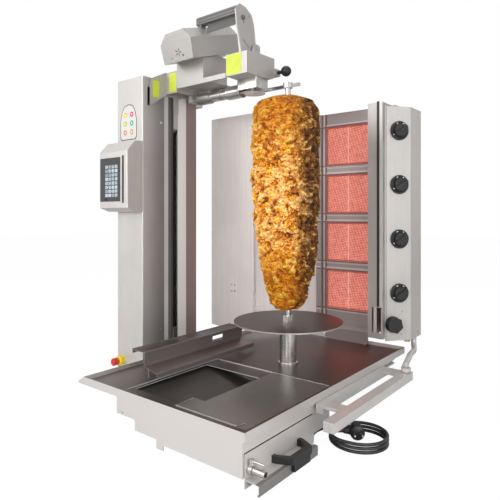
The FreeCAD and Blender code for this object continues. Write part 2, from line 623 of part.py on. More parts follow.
def build_tower():
    """Control tower with its panel housing, touch screen, buttons and collar."""
    cabinet = box(TOWER_LEFT, TOWER_RIGHT, TOWER_FRONT, TOWER_BACK, FOOT_H, TOWER_TOP)
    cabinet = round_edges(cabinet, 4, lambda e: upright(e) and e.BoundBox.YMax < TOWER_BACK - 1)
    cabinet = cabinet.cut(box(TOWER_LEFT + SHEET, TOWER_RIGHT - SHEET, TOWER_FRONT + SHEET, TOWER_BACK - SHEET,
                              FOOT_H + SHEET, TOWER_TOP - SHEET))
    cabinet = cabinet.cut(box(TOWER_RIGHT - 5, TOWER_RIGHT + 1, VENT_Y, VENT_Y + VENT_W, VENT_LOW, VENT_HIGH))
    save("tower_cabinet", cabinet.cut(rod(STOP_STEM_R + 1, (STOP_X, TOWER_FRONT - 1, STOP_Z), (0, 1, 0), 5)))

    front = TOWER_FRONT - PANEL_DEPTH
    side = [(TOWER_FRONT, PANEL_LOW - 13), (TOWER_FRONT - 28, PANEL_LOW - 13), (front, PANEL_LOW),
            (front, PANEL_HIGH), (TOWER_FRONT - 33, PANEL_HIGH + 36), (TOWER_FRONT, PANEL_HIGH + 38)]
    inner = [(TOWER_FRONT - 3, PANEL_LOW - 10), (TOWER_FRONT - 28, PANEL_LOW - 10), (front + 3, PANEL_LOW + 2),
             (front + 3, PANEL_HIGH - 1), (TOWER_FRONT - 32, PANEL_HIGH + 33), (TOWER_FRONT - 3, PANEL_HIGH + 35)]
    panel = profile_x(side, PANEL_LEFT, TOWER_RIGHT)
    panel = round_edges(panel, 4, lambda e: upright(e) and e.BoundBox.YMax < front + 1)
    panel = panel.cut(profile_x(inner, PANEL_LEFT + 3, TOWER_RIGHT - 3))
    hole = rod(BUTTON_R + RUN_GAP, (BUTTON_X, front - 5, BUTTON_Z), (0, 1, 0), 12)
    strip = box(STRIP_X, STRIP_X + STRIP_W, front - 1, front + 1, SCREEN_Z - 6, SCREEN_Z + SCREEN_H + 5)
    save("hmi_box", panel.cut(hole).cut(strip))
    screen = box(SCREEN_X, SCREEN_X + SCREEN_W, front - SCREEN_PROUD, front, SCREEN_Z, SCREEN_Z + SCREEN_H)
    screen = screen.cut(box(SCREEN_X - 1, PANEL_LEFT + 4.5, front - 3, front + 1, SCREEN_Z - 1, SCREEN_Z + SCREEN_H + 1))
    save("touch_screen", screen.cut(hole))
    save("hmi_button", rod(BUTTON_R, (BUTTON_X, front - SCREEN_PROUD - 2 * BUTTON_TRAVEL, BUTTON_Z), (0, 1, 0), 7.5))

    collar = rod(STOP_R, (STOP_X, TOWER_FRONT, STOP_Z), (0, -1, 0), STOP_COLLAR)
    collar = round_edges(collar, 3, lambda e: e.BoundBox.YMax < TOWER_FRONT - STOP_COLLAR + 0.1)
    save("estop_collar", collar.cut(rod(STOP_STEM_R + RUN_GAP, (STOP_X, TOWER_FRONT + 1, STOP_Z), (0, -1, 0), 30)))
    face = TOWER_FRONT - STOP_COLLAR - STOP_TRAVEL - SEAT_GAP
    head = rod(STOP_HEAD_R, (STOP_X, face, STOP_Z), (0, -1, 0), STOP_HEAD_H)
    head = round_edges(head, 5, lambda e: e.BoundBox.YMax < face - STOP_HEAD_H + 0.1)
    save("estop_button", fuse(rod(STOP_STEM_R, (STOP_X, face, STOP_Z), (0, 1, 0), STOP_COLLAR), head))


def build_column():
    """Lift column with its slot, rail, lead screw and motor."""
    column = box(COLUMN_LEFT, TOWER_RIGHT, TOWER_BACK, COLUMN_BACK, FOOT_H, TOWER_TOP)
    column = column.cut(box(COLUMN_LEFT + COLUMN_WALL, TOWER_RIGHT - COLUMN_WALL, TOWER_BACK + COLUMN_WALL,
                            COLUMN_BACK - COLUMN_WALL, FOOT_H + COLUMN_WALL, TOWER_TOP - COLUMN_WALL))
    column = column.cut(box(TOWER_RIGHT - 10, TOWER_RIGHT + 1, SLOT_FRONT, SLOT_BACK, SLOT_BOTTOM,
                            TOWER_TOP - COLUMN_WALL - 1))
    column = column.cut(box(TOWER_RIGHT - GROOVE_DEPTH, TOWER_RIGHT + 1, GROOVE_FRONT, SLOT_FRONT, 40, TOWER_TOP - 4))
    save("column_housing", column)

    inner = COLUMN_LEFT + COLUMN_WALL
    rail_y = (SLOT_FRONT + SLOT_BACK) / 2
    rail = box(inner, inner + RAIL_D, rail_y - RAIL_W / 2, rail_y + RAIL_W / 2, FOOT_H + COLUMN_WALL,
               TOWER_TOP - COLUMN_WALL)
    head = box(inner, SCREW_X + 20, rail_y - RAIL_W / 2, SCREW_Y + 20, BLOCK_TOP + 2, TOWER_TOP - COLUMN_WALL)
    head = head.cut(rod(SCREW_R + RUN_GAP, (SCREW_X, SCREW_Y, BLOCK_TOP), (0, 0, 1), 20))
    save("lift_rail", fuse(rail, head))
    half = MOTOR_SIZE / 2
    motor = box(SCREW_X - half, SCREW_X + half, SCREW_Y - half + 2, SCREW_Y + half - 12, FOOT_H + COLUMN_WALL, MOTOR_TOP)
    motor = fuse(motor, rod(SCREW_R + 6, (SCREW_X, SCREW_Y, MOTOR_TOP), (0, 0, 1), BEARING_H))
    save("lift_motor", motor.cut(rod(SCREW_R + RUN_GAP, (SCREW_X, SCREW_Y, MOTOR_TOP - 10), (0, 0, 1), 30)))
    low = MOTOR_TOP - 9
    save("lift_screw", rod(SCREW_R, (SCREW_X, SCREW_Y, low), (0, 0, 1), TOWER_TOP - COLUMN_WALL - 1 - low))


def build_arm():
    """Carriage, arm frame, end block, lock knob, cutter drive and blade."""
    spine = box(SPINE_LEFT, SPINE_RIGHT, ARM_FRONT, ARM_BACK, SPINE_BOTTOM, SPINE_TOP)
    spine = spine.cut(box(SPINE_LEFT + 3, SPINE_RIGHT - 3, ARM_FRONT + 3, ARM_BACK - 3, SPINE_BOTTOM - 1, SPINE_TOP - 3))
    cheek = profile_x([(-135, SPINE_BOTTOM - 50), (ARM_FRONT, SPINE_BOTTOM - 5), (10, SPINE_BOTTOM - 5), (10, SPINE_BOTTOM),
                       (ARM_FRONT, SPINE_TOP + 2), (-110, SPINE_TOP - 22), (-135, SPINE_TOP - 35)], SPINE_LEFT, SPINE_LEFT + 3)
    ear = box(SPINE_RIGHT - 15, SPINE_RIGHT, CUT_Y - 15, CUT_Y + 15, CUT_Z - 12, SPINE_BOTTOM + 6)
    ear = ear.cut(rod(SPINDLE_R + RUN_GAP, (SPINE_RIGHT - 16, CUT_Y, CUT_Z), (1, 0, 0), 20))
    tongue = box(TOWER_RIGHT - 20, SPINE_LEFT, SLOT_FRONT + 2, SLOT_BACK - 2, BLOCK_BOTTOM + 5, BLOCK_TOP)
    web = box(SPINE_LEFT, SPINE_LEFT + 3, SLOT_FRONT + 2, SLOT_BACK - 2, BLOCK_BOTTOM + 60, SPINE_BOTTOM + 5)
    rail_x = COLUMN_LEFT + COLUMN_WALL + RAIL_D
    rail_y = (SLOT_FRONT + SLOT_BACK) / 2
    block = box(rail_x - 8, TOWER_RIGHT - 19, rail_y - RAIL_W / 2 - 10, SCREW_Y + 17, BLOCK_BOTTOM, BLOCK_TOP)
    block = block.cut(box(rail_x - 9, rail_x + RUN_GAP, rail_y - RAIL_W / 2 - RUN_GAP, rail_y + RAIL_W / 2 + RUN_GAP,
                          BLOCK_BOTTOM - 1, BLOCK_TOP + 1))
    block = block.cut(rod(SCREW_R + RUN_GAP, (SCREW_X, SCREW_Y, BLOCK_BOTTOM - 1), (0, 0, 1), 200))
    save("carriage_spine", fuse(spine, cheek, ear, tongue, web, block))

    front = ARM_FRONT + RAIL_THICK
    rails = fuse(box(SPINE_RIGHT, END_LEFT, ARM_FRONT, front, RAIL_BOTTOM, RAIL_TOP),
                 box(SPINE_RIGHT, END_LEFT, ARM_BACK - RAIL_THICK, ARM_BACK, RAIL_BOTTOM, RAIL_TOP),
                 box(SPINE_RIGHT, SPINE_RIGHT + 6, ARM_FRONT, ARM_BACK, RAIL_BOTTOM, RAIL_TOP))
    slope = math.tan(math.radians(HEAD_TILT))
    under = HEAD_Z - 0.4
    near, crest = ((y, under + (y - HEAD_Y) * slope) for y in (ARM_FRONT, PIVOT_Y - 8))
    far = crest[1] - 1
    neck = profile_x([(ARM_FRONT, RAIL_TOP), near, crest, (NECK_BACK, far), (NECK_BACK, RAIL_TOP)], SPINE_RIGHT, NECK_RIGHT)
    neck = neck.cut(profile_x([(ARM_FRONT + 3, RAIL_TOP + 3), (ARM_FRONT + 3, near[1] - 3), (crest[0], crest[1] - 4),
                               (NECK_BACK - 3, far - 4), (NECK_BACK - 3, RAIL_TOP + 3)], SPINE_RIGHT + 3, NECK_RIGHT - 3))
    neck = fuse(neck, box(SPINE_RIGHT, NECK_RIGHT, ARM_FRONT, ARM_BACK, RAIL_TOP - 3, RAIL_TOP))
    save("arm_frame", fuse(rails, neck))

    side = [(END_FRONT, END_BOTTOM), (END_FRONT, END_TOP - 7), (-12, END_TOP - 2), (ARM_BACK, END_TOP),
            (ARM_BACK, END_TOP - 39), (80, END_BOTTOM + 7), (22, END_BOTTOM)]
    hollow = [(END_FRONT + 3, END_BOTTOM + 3), (END_FRONT + 3, END_TOP - 10), (-12, END_TOP - 5), (ARM_BACK - 3, END_TOP - 3),
              (ARM_BACK - 3, END_TOP - 38), (78, END_BOTTOM + 10), (22, END_BOTTOM + 3)]
    block = profile_x(side, END_LEFT, END_RIGHT).cut(profile_x(hollow, END_LEFT + 3, END_RIGHT - 3))
    lug = box(END_RIGHT - 25, END_RIGHT + 5, ARM_BACK - 2, KNOB_Y + 12, KNOB_Z - 11, KNOB_Z + 11)
    ear = profile_x([(PIVOT_Y + y, PIVOT_Z + z) for y, z in ((-15, -26), (-15, 6), (-8, 12), (8, 12), (15, 6), (15, -26))],
                    SIDE_X + 7, SIDE_X + 17)
    pin = rod(PIVOT_R, (SIDE_X - 3, PIVOT_Y, PIVOT_Z), (1, 0, 0), 22)
    block = fuse(block, lug, ear, pin)
    save("arm_end_block", block.cut(rod(LOCK_R + RUN_GAP, (END_RIGHT - 30, KNOB_Y, KNOB_Z), (1, 0, 0), 40)))
    knob = Part.makeSphere(KNOB_R, Vector(KNOB_X, KNOB_Y, KNOB_Z))
    save("ball_knob", fuse(knob, rod(LOCK_R, (END_RIGHT - 24, KNOB_Y, KNOB_Z), (1, 0, 0), KNOB_X - END_RIGHT + 24)))

    depth = GEARBOX_W / 2
    gearbox = box(GEARBOX_X, GEARBOX_X + GEARBOX_L, CUT_Y - depth, CUT_Y + depth, CUT_Z - 6, END_BOTTOM)
    gearbox = gearbox.cut(profile_x([(20, END_BOTTOM + 1), (20, END_BOTTOM - 0.3), (60, END_BOTTOM - 0.3), (60, END_BOTTOM + 1)],
                                    GEARBOX_X - 1, GEARBOX_X + GEARBOX_L + 1))
    gearbox = round_edges(gearbox, 5, lambda e: upright(e) and e.BoundBox.ZLength > 20)
    gearbox = gearbox.cut(rod(6 + RUN_GAP, (BLADE_X, CUT_Y, CUT_Z - 7), (0, 0, 1), 21))
    motor = fuse(rod(MOTOR_R, (-262, CUT_Y, CUT_Z), (1, 0, 0), GEARBOX_X + 262),
                 rod(17, (-292, CUT_Y, CUT_Z), (1, 0, 0), 30),
                 rod(19, (-299.7, CUT_Y, CUT_Z), (1, 0, 0), 7.7))
    motor = motor.cut(rod(SPINDLE_R + RUN_GAP, (-301, CUT_Y, CUT_Z), (1, 0, 0), 30))
    save("cutter_drive", fuse(gearbox, motor))

    teeth = []
    pitch = 2 * math.pi / WHEEL_TEETH
    for i in range(WHEEL_TEETH):
        for share, radius in ((-0.3, WHEEL_R - 2), (-0.15, WHEEL_R), (0.15, WHEEL_R), (0.3, WHEEL_R - 2)):
            angle = (i + share) * pitch
            teeth.append((CUT_Y + radius * math.cos(angle), CUT_Z + radius * math.sin(angle)))
    wheel = profile_x(teeth, WHEEL_X, WHEEL_X + WHEEL_L)
    sleeve = rod(16.5, (WHEEL_X + WHEEL_L, CUT_Y, CUT_Z), (1, 0, 0), -300 - WHEEL_X - WHEEL_L)
    spindle = rod(SPINDLE_R, (SPINE_RIGHT - 14, CUT_Y, CUT_Z), (1, 0, 0), 170)
    save("depth_adjuster", fuse(wheel, sleeve, spindle))

    hub = rod(12, (BLADE_X, CUT_Y, BLADE_Z), (0, 0, 1), CUT_Z - 6 - SEAT_GAP - BLADE_Z)
    shaft = rod(6, (BLADE_X, CUT_Y, BLADE_Z), (0, 0, 1), 28)
    blade = Part.makeCone(BLADE_R, BLADE_R - 6, BLADE_THICK, Vector(BLADE_X, CUT_Y, BLADE_Z))
    save("blade_disc", fuse(blade, hub, shaft))


def tilt(shape):
    """Turn a piece of the head from its own straight frame to its tilted rest."""
    return turned(shape, (0, HEAD_Y, HEAD_Z), (1, 0, 0), HEAD_TILT)


def build_head():
    """Tilting head: six-sided cover with its cap, side plate, handle bar and shield."""
    outer = [(x, z + HEAD_Z) for x, z in HEAD_SECTION]
    centre = (HEAD_SECTION[0][0] + HEAD_SECTION[1][0]) / 2
    inner = [(centre + (x - centre) * HEAD_WALL, HEAD_Z + (3 if z == 0 else z * HEAD_WALL)) for x, z in HEAD_SECTION]
    cover = profile_y(outer, HEAD_Y, HEAD_Y + HEAD_LENGTH)
    solid = tilt(cover)
    cover = cover.cut(profile_y(inner, HEAD_Y + 3, HEAD_Y + HEAD_LENGTH - 3))
    joint = profile_y(outer, HEAD_Y + 4, HEAD_Y + 5)
    bigger = profile_y([(centre + (x - centre) * 0.99, HEAD_Z + z * 0.99 + 0.5) for x, z in HEAD_SECTION],
                       HEAD_Y + 4, HEAD_Y + 5)
    cover = cover.cut(joint.cut(bigger))
    hub = (-350.0, HEAD_Z + 28.0)
    for i in range(5):
        slit = box(hub[0] - 1.5, hub[0] + 1.5, HEAD_Y - 1, HEAD_Y + 4, hub[1] + 4, hub[1] + 13)
        cover = cover.cut(turned(slit, (hub[0], HEAD_Y, hub[1]), (0, 1, 0), 72 * i + 20))
    for x, z, radius in ((-331, 16.5, 3.5), (-384, 13.7, 2.2)):
        cover = cover.cut(rod(radius, (x, HEAD_Y - 1, HEAD_Z + z), (0, 1, 0), 5))
    save("head_cover", tilt(cover))

    plate = profile_x([(PIVOT_Y + y, PIVOT_Z + z) for y, z in SIDE_OUTLINE], SIDE_X, SIDE_X + SIDE_THICK)
    plate = round_edges(plate, 4, lambda e: across(e) and e.BoundBox.ZMin > PIVOT_Z - 18)
    slot = profile_x([(PIVOT_Y + y, PIVOT_Z + z) for y, z in ((-60, 16), (-57, 19), (-23, -4), (-26, -7))],
                     SIDE_X - 1, SIDE_X + SIDE_THICK + 1)
    plate = plate.cut(slot)
    for y, z in ((-57, 92), (-55, 74)):
        plate = plate.cut(rod(3, (SIDE_X - 1, PIVOT_Y + y, PIVOT_Z + z), (1, 0, 0), SIDE_THICK + 2))
    save("head_side_plate", plate.cut(rod(PIVOT_R + RUN_GAP, (SIDE_X - 1, PIVOT_Y, PIVOT_Z), (1, 0, 0), SIDE_THICK + 2)))

    half = BAR_SIZE / 2
    bar = box(BAR_LEFT, SIDE_X, BAR_Y - half, BAR_Y + half, BAR_Z - half, BAR_Z + half)
    bar = round_edges(bar, 4, across)
    for z in (BAR_Z - 7, BAR_Z + 3):
        for y in (BAR_Y - half - 1, BAR_Y + half - 2):
            bar = bar.cut(box(BAR_LEFT + 8, SIDE_X + 1, y, y + 3, z, z + 3))
    low = BAR_Z - half
    saddle = box(BAR_LEFT, -306, BAR_Y - 10, BAR_Y + 10, low - 20, low + 3).cut(solid)
    saddle = saddle.common(box(-400, 0, BAR_Y - 12, BAR_Y + 12, low - 8, low + 4))
    shield = profile_x([(BAR_Y - 11, BAR_Z - 47), (BAR_Y - 9, BAR_Z - 47), (BAR_Y - 1, low + 2), (BAR_Y - 3, low + 2)], -281, SIDE_X)
    save("handle_bar", fuse(bar, saddle, shield))


def build_support():
    """Top support bar that holds the spit's tip from behind the arm."""
    half = SUPPORT_SIZE / 2
    left = COLUMN_LEFT + 40
    bar = box(left, SUPPORT_END, SUPPORT_Y - half, SUPPORT_Y + half, SUPPORT_Z - half, SUPPORT_Z + half)
    bracket = box(left, left + 60, COLUMN_BACK, SUPPORT_Y + half, SUPPORT_Z - 20, SUPPORT_Z + 20)
    start = Vector(SUPPORT_END - 3, SUPPORT_Y, SUPPORT_Z)
    reach = Vector(0, 0, EYE_Z) - start
    hook = Part.makeCylinder(half - 0.5, reach.Length - EYE_R + 3, start, reach)
    eye = rod(EYE_R, (0, 0, EYE_Z - EYE_H / 2), (0, 0, 1), EYE_H)
    hole = rod(SPIT_R + RUN_GAP, (0, 0, EYE_Z - EYE_H), (0, 0, 1), 2 * EYE_H)
    save("spit_support", fuse(bar, bracket, hook, eye).cut(hole))


def panel_point(share, out, z):
    """Point over the knob panel's slanted face, and the face's outward direction."""
    dx, dy = KNOB_RIGHT - KNOB_LEFT, KNOB_CORNER - KNOB_FRONT
    width = math.hypot(dx, dy)
    nx, ny = dy / width, -dx / width
    return (KNOB_LEFT + dx * share + nx * out, KNOB_FRONT + dy * share + ny * out, z), (nx, ny, 0)


def build_burners():
    """Burner unit: frame with cover, four burners, shield, panels, gas pipes and knobs."""
    left = WALL_LEFT - POST_W
    frame = box(left, KNOB_LEFT, WALL_Y, UNIT_BACK, UNIT_BOTTOM, UNIT_TOP)
    frame = frame.cut(box(left + SHEET, KNOB_LEFT + 1, WALL_Y + SHEET, UNIT_BACK - SHEET, UNIT_BOTTOM + SHEET, UNIT_TOP - SHEET))
    frame = fuse(frame, box(left, WALL_LEFT, WALL_Y - BORDER, WALL_Y, UNIT_BOTTOM, UNIT_TOP))
    half = WINDOW_H / 2
    right = WINDOW_LEFT + WINDOW_W
    for z in WINDOW_Z:
        rim = box(WINDOW_LEFT - 6, right + 6, WALL_Y - BORDER, WALL_Y, z - half - 6, z + half + 6)
        frame = fuse(frame, rim)
    for z in WINDOW_Z:
        frame = frame.cut(box(WINDOW_LEFT, right, WALL_Y - BORDER - 1, WALL_Y + SHEET + 1, z - half, z + half))
    ledge_top = box(LEDGE_LEFT, LEDGE_RIGHT, LEDGE_Y, WALL_Y + 20, UNIT_BOTTOM - SHEET, UNIT_BOTTOM)
    ledge_front = box(LEDGE_LEFT, LEDGE_RIGHT, LEDGE_Y, LEDGE_Y + SHEET, LEDGE_BOTTOM, UNIT_BOTTOM)
    foot = box(LEDGE_LEFT + 10, LEDGE_RIGHT - 10, LEDGE_Y, LEDGE_Y + 14, PLATE_TOP + SEAT_GAP, LEDGE_BOTTOM)
    save("burner_frame", fuse(frame, ledge_top, ledge_front, foot))

    tiles = []
    cases = []
    middle = WINDOW_LEFT + WINDOW_W / 2
    back = WALL_Y + SHEET
    for z in WINDOW_Z:
        for x0, x1 in ((WINDOW_LEFT + 0.2, middle - 0.3), (middle + 0.3, right - 0.2)):
            tiles.append(box(x0, x1, WALL_Y - 1, WALL_Y - 1 + TILE_THICK, z - half + 0.2, z + half - 0.2))
        seat = WALL_Y - 1 + TILE_THICK
        case = box(WINDOW_LEFT - 4, right + 4, back, back + CASE_DEPTH, z - half - 4, z + half + 4)
        case = case.cut(box(WINDOW_LEFT, right, back - 1, seat, z - half, z + half))
        cases.append(case.cut(box(WINDOW_LEFT + 8, right - 8, seat - 1, back + CASE_DEPTH - 3, z - half + 8, z + half - 8)))
    save("burner_tiles", *tiles)
    save("burner_casings", *cases)

    shield = box(SHIELD_LEFT, KNOB_LEFT, SHIELD_FRONT, WALL_Y, UNIT_BOTTOM, SHIELD_TOP)
    shield = shield.cut(box(SHIELD_LEFT + SHEET, KNOB_LEFT - SHEET, SHIELD_FRONT + SHEET, WALL_Y + 1,
                            UNIT_BOTTOM - 1, SHIELD_TOP - SHEET))
    shield = shield.cut(box(SHIELD_LEFT + 14, KNOB_LEFT - 6, SHIELD_FRONT - 1, SHIELD_FRONT + 3, 178, 262))
    save("side_shield", shield)

    dx, dy = left - WING_HINGE, WALL_Y - WING_Y
    length = math.hypot(dx, dy)
    tx, ty = -dy / length * SHEET, dx / length * SHEET
    ux, uy = dx / length * 5, dy / length * 5
    oblique = profile_z([(WING_HINGE + ux, WING_Y + uy), (left, WALL_Y), (left + tx, WALL_Y + ty),
                         (WING_HINGE + ux + tx, WING_Y + uy + ty)], WING_BOTTOM, UNIT_TOP)
    lip = box(left - 1, left, WALL_Y - 2, WALL_Y + 12, UNIT_BOTTOM, UNIT_TOP)
    slot_x, slot_y = WING_HINGE + dx * 0.5, WING_Y + dy * 0.5
    slot = turned(box(-30, 30, -8, 8, 700, 707), (0, 0, 0), (0, 0, 1), math.degrees(math.atan2(dy, dx)))
    slot.translate(Vector(slot_x, slot_y, 0))
    oblique = oblique.cut(slot)
    knuckles = []
    for z in KNUCKLE_HEIGHTS:
        knuckles.append(rod(HINGE_R + 2, (WING_HINGE, WING_Y, z), (0, 0, 1), KNUCKLE))
    starts = [WING_BOTTOM] + [z + KNUCKLE * 1.5 for z in KNUCKLE_HEIGHTS]
    ends = [z - KNUCKLE / 2 for z in KNUCKLE_HEIGHTS] + [UNIT_TOP]
    for z0, z1 in zip(starts, ends):
        knuckles.append(rod(HINGE_R + 1.5, (WING_HINGE, WING_Y, z0), (0, 0, 1), z1 - z0))
    oblique = fuse(oblique, lip, *[fuse(k, box(WING_HINGE, WING_HINGE + ux + 3, WING_Y - 1, WING_Y + uy + 3,
                                                k.BoundBox.ZMin, k.BoundBox.ZMax)) for k in knuckles])
    for z in KNUCKLE_HEIGHTS:
        oblique = oblique.cut(rod(HINGE_R + RUN_GAP, (WING_HINGE, WING_Y, z - 1), (0, 0, 1), KNUCKLE + 2))
    save("oblique_panel", oblique)
    edge = WING_HINGE - HINGE_R - 2.3
    wing = box(WING_LEFT, edge, WING_Y - 1, WING_Y + 1, WING_BOTTOM, UNIT_TOP)
    flap = profile_z([(WING_LEFT, WING_Y - 1), (WING_LEFT, WING_Y + 1), (WING_LEFT - 36, WING_Y + 9),
                      (WING_LEFT - 36, WING_Y + 7)], WING_BOTTOM, UNIT_TOP)
    pins = []
    for z in KNUCKLE_HEIGHTS:
        pins.append(rod(HINGE_R, (WING_HINGE, WING_Y, z - 14), (0, 0, 1), KNUCKLE + 28))
        for z0 in (z - 14, z + KNUCKLE + SEAT_GAP):
            pins.append(box(edge - 1, WING_HINGE + HINGE_R, WING_Y - HINGE_R, WING_Y + HINGE_R, z0, z0 + 14 - SEAT_GAP))
    save("wing_panel", fuse(wing, flap, *pins))

    body = profile_z([(KNOB_LEFT, KNOB_FRONT), (KNOB_RIGHT, KNOB_CORNER), (KNOB_RIGHT, UNIT_BACK), (KNOB_LEFT, UNIT_BACK)],
                     KNOB_LOW, KNOB_HIGH)
    body = round_edges(body, 4, lambda e: upright(e) and e.BoundBox.XMin > KNOB_RIGHT - 1 and e.BoundBox.YMax < UNIT_BACK - 1)
    near, _ = panel_point(0.0, -SHEET, 0)
    far, _ = panel_point(1.0, -SHEET, 0)
    body = body.cut(profile_z([(KNOB_LEFT + SHEET, near[1] + 1), (KNOB_RIGHT - SHEET, far[1] - 1),
                               (KNOB_RIGHT - SHEET, UNIT_BACK - SHEET), (KNOB_LEFT + SHEET, UNIT_BACK - SHEET)],
                              KNOB_LOW + SHEET, KNOB_HIGH - SHEET))
    for z in GAS_KNOB_Z + [SPIT_KNOB_Z]:
        start, normal = panel_point(SPIT_KNOB_SHARE if z == SPIT_KNOB_Z else GAS_KNOB_SHARE, -8, z)
        body = body.cut(rod(STEM_R + RUN_GAP, start, normal, 20))
    for z in WINDOW_Z:
        body = body.cut(rod(6.1, (KNOB_LEFT - 1, MANIFOLD_Y, z), (1, 0, 0), 5))
    body = body.cut(rod(MANIFOLD_R + 0.1, (MANIFOLD_X, MANIFOLD_Y, KNOB_LOW - 1), (0, 0, 1), 5))
    save("knob_panel", body)

    inlet = rod(INLET_R, (MANIFOLD_X, MANIFOLD_Y, KNOB_LOW - INLET_DROP), (0, 0, 1), INLET_DROP)
    pieces = [inlet, rod(MANIFOLD_R, (MANIFOLD_X, MANIFOLD_Y, KNOB_LOW), (0, 0, 1), GAS_KNOB_Z[0] + 20 - KNOB_LOW)]
    for z in WINDOW_Z:
        pieces.append(rod(6, (right + 4, MANIFOLD_Y, z), (1, 0, 0), MANIFOLD_X - right - 4))
    for z in GAS_KNOB_Z:
        start, normal = panel_point(GAS_KNOB_SHARE, -29, z)
        pieces.append(rod(8, start, normal, 19))
        feed, _ = panel_point(GAS_KNOB_SHARE, -24, z)
        toward = (MANIFOLD_X - feed[0], MANIFOLD_Y - feed[1], 0)
        pieces.append(rod(5, feed, toward, math.hypot(toward[0], toward[1])))
    save("gas_manifold", fuse(*pieces))

    for i, z in enumerate(GAS_KNOB_Z, start=1):
        seat, normal = panel_point(GAS_KNOB_SHARE, SEAT_GAP, z)
        crown, _ = panel_point(GAS_KNOB_SHARE, SEAT_GAP + 7, z)
        inner_end, _ = panel_point(GAS_KNOB_SHARE, -9.5, z)
        grip = Part.makeCone(GAS_KNOB_R - 5, GAS_KNOB_R - 9, GAS_KNOB_H - 7, Vector(*crown), Vector(*normal))
        save("gas_knob_%d" % i, fuse(rod(GAS_KNOB_R, seat, normal, 7), grip, rod(STEM_R, inner_end, normal, 12)))
    seat, normal = panel_point(SPIT_KNOB_SHARE, SEAT_GAP, SPIT_KNOB_Z)
    inner_end, _ = panel_point(SPIT_KNOB_SHARE, -7, SPIT_KNOB_Z)
    knob = rod(SPIT_KNOB_R, seat, normal, 24)
    away = Vector(*normal)
    for i in range(6):
        angle = math.radians(60 * i + 12)
        side = Vector(-normal[1], normal[0], 0) * math.cos(angle) + Vector(0, 0, 1) * math.sin(angle)
        flat = Part.makeCylinder(40, 20, Vector(*seat) + side * (SPIT_KNOB_R - 3) + away * 5, side)
        knob = knob.cut(flat.common(Part.makeCylinder(60, 40, Vector(*seat) + away * 7, away)))
    save("burner_motor_knob", fuse(knob, rod(STEM_R, inner_end, normal, 10)))


def build_frame():
    """Slide frame at the right of the base and the bent tube up to the knob panel."""
    outer_x = FRAME_RIGHT - FRAME_BAR
    inner_x = BASE_RIGHT + 1
    top = FRAME_Z + FRAME_H
    ring = fuse(
        box(outer_x, FRAME_RIGHT, FRAME_FRONT, FRAME_BACK, FRAME_Z, top),
        box(inner_x, inner_x + INNER_BAR, STRIP_FRONT, FRAME_BACK, FRAME_Z, top - 2),
        box(inner_x, outer_x, STRIP_FRONT, STRIP_FRONT + STRIP_NEAR, top - 10, top - 2),
        box(inner_x, outer_x, FRAME_BACK - STRIP_FAR, FRAME_BACK, top - 10, top - 2),
        box(RIB_LEFT, inner_x + 1, -35, 165, RIB_Z, RIB_Z + RIB_H))
    hollow = box(outer_x + 3, FRAME_RIGHT - 3, FRAME_FRONT + 3, FRAME_BACK - 3, FRAME_Z - 1, top - 3)
    frame = ring.cut(hollow)
    pin = fuse(rod(TUBE_R, (PIN_X, PIN_Y, FRAME_Z - 6), (0, 0, 1), FRAME_H + 6 + 2),
               rod(5, (PIN_X, PIN_Y, FRAME_Z), (0, 0, 1), FRAME_H + 30),
               hexagon(10, (PIN_X, PIN_Y, top + 16), 8))
    save("slide_frame", fuse(frame, pin))

    end = Vector(PIN_X - 9, PIN_Y + 12, top + 9)
    points = [Vector(KNOB_RIGHT - 7, 430, KNOB_LOW), Vector(KNOB_RIGHT - 7, 430, KNOB_LOW - 22),
              Vector(KNOB_RIGHT + 6, 400, KNOB_LOW - 38), Vector(258, 330, top + 11), Vector(276, 260, top + 9), end]
    ring = Part.makeCylinder(14, 11, Vector(PIN_X, PIN_Y, top + 3))
    tube = fuse(swept_tube(points, TUBE_R * 2), ring)
    save("link_tube", tube.cut(rod(5 + RUN_GAP, (PIN_X, PIN_Y, top - 5), (0, 0, 1), 40)).cut(
        rod(TUBE_R + 0.5, (PIN_X, PIN_Y, top - 20), (0, 0, 1), 22.5)))


def rounded_path(points):
    """Straight runs joined by tangent arcs, each as large as its shorter run allows, and the radii."""
    edges = []
    radii = []
    start = points[0]
    for before, corner, after in zip(points, points[1:], points[2:]):
        back = before - corner
        ahead = after - corner
        reach = 0.45 * min(back.Length, ahead.Length)
        back.normalize()
        ahead.normalize()
        half_turn = (math.pi - back.getAngle(ahead)) / 2
        radius = reach / math.tan(half_turn)
        radii.append(round(radius, 1))
        first = corner + back * reach
        last = corner + ahead * reach
        inward = back + ahead
        inward.normalize()
        middle = corner + inward * (radius / math.cos(half_turn) - radius)
        edges.append(Part.LineSegment(start, first).toShape())
        edges.append(Part.Arc(first, middle, last).toShape())
        start = last
    edges.append(Part.LineSegment(start, points[-1]).toShape())
    return Part.Wire(edges), radii


def swept_tube(points, diameter):
    """Round tube along a route of runs and arcs, its volume set against section times length."""
    wire, radii = rounded_path(points)
    circle = Part.Wire(Part.makeCircle(diameter / 2, points[0], points[1] - points[0]))
    solid = wire.makePipeShell([circle], True, False)
    expected = math.pi * diameter ** 2 / 4 * wire.Length
    print("tube radii", radii, "length", round(wire.Length, 1), "volume share", round(solid.Volume / expected, 4))
    return solid


def coil_point(turned_by):
    """Point on the coil's helix after so many degrees, and its direction there."""
    at = math.radians(COIL_START - turned_by)
    rise = COIL_PITCH / 360.0
    height = CORD_D / 2 + COIL_LIFT + turned_by * rise
    point = Vector(COIL_X + COIL_R * math.cos(at), COIL_Y + COIL_R * math.sin(at), height)
    flat = COIL_R * math.pi / 180.0
    direction = Vector(flat * math.sin(at), -flat * math.cos(at), rise)
    direction.normalize()
    return point, direction


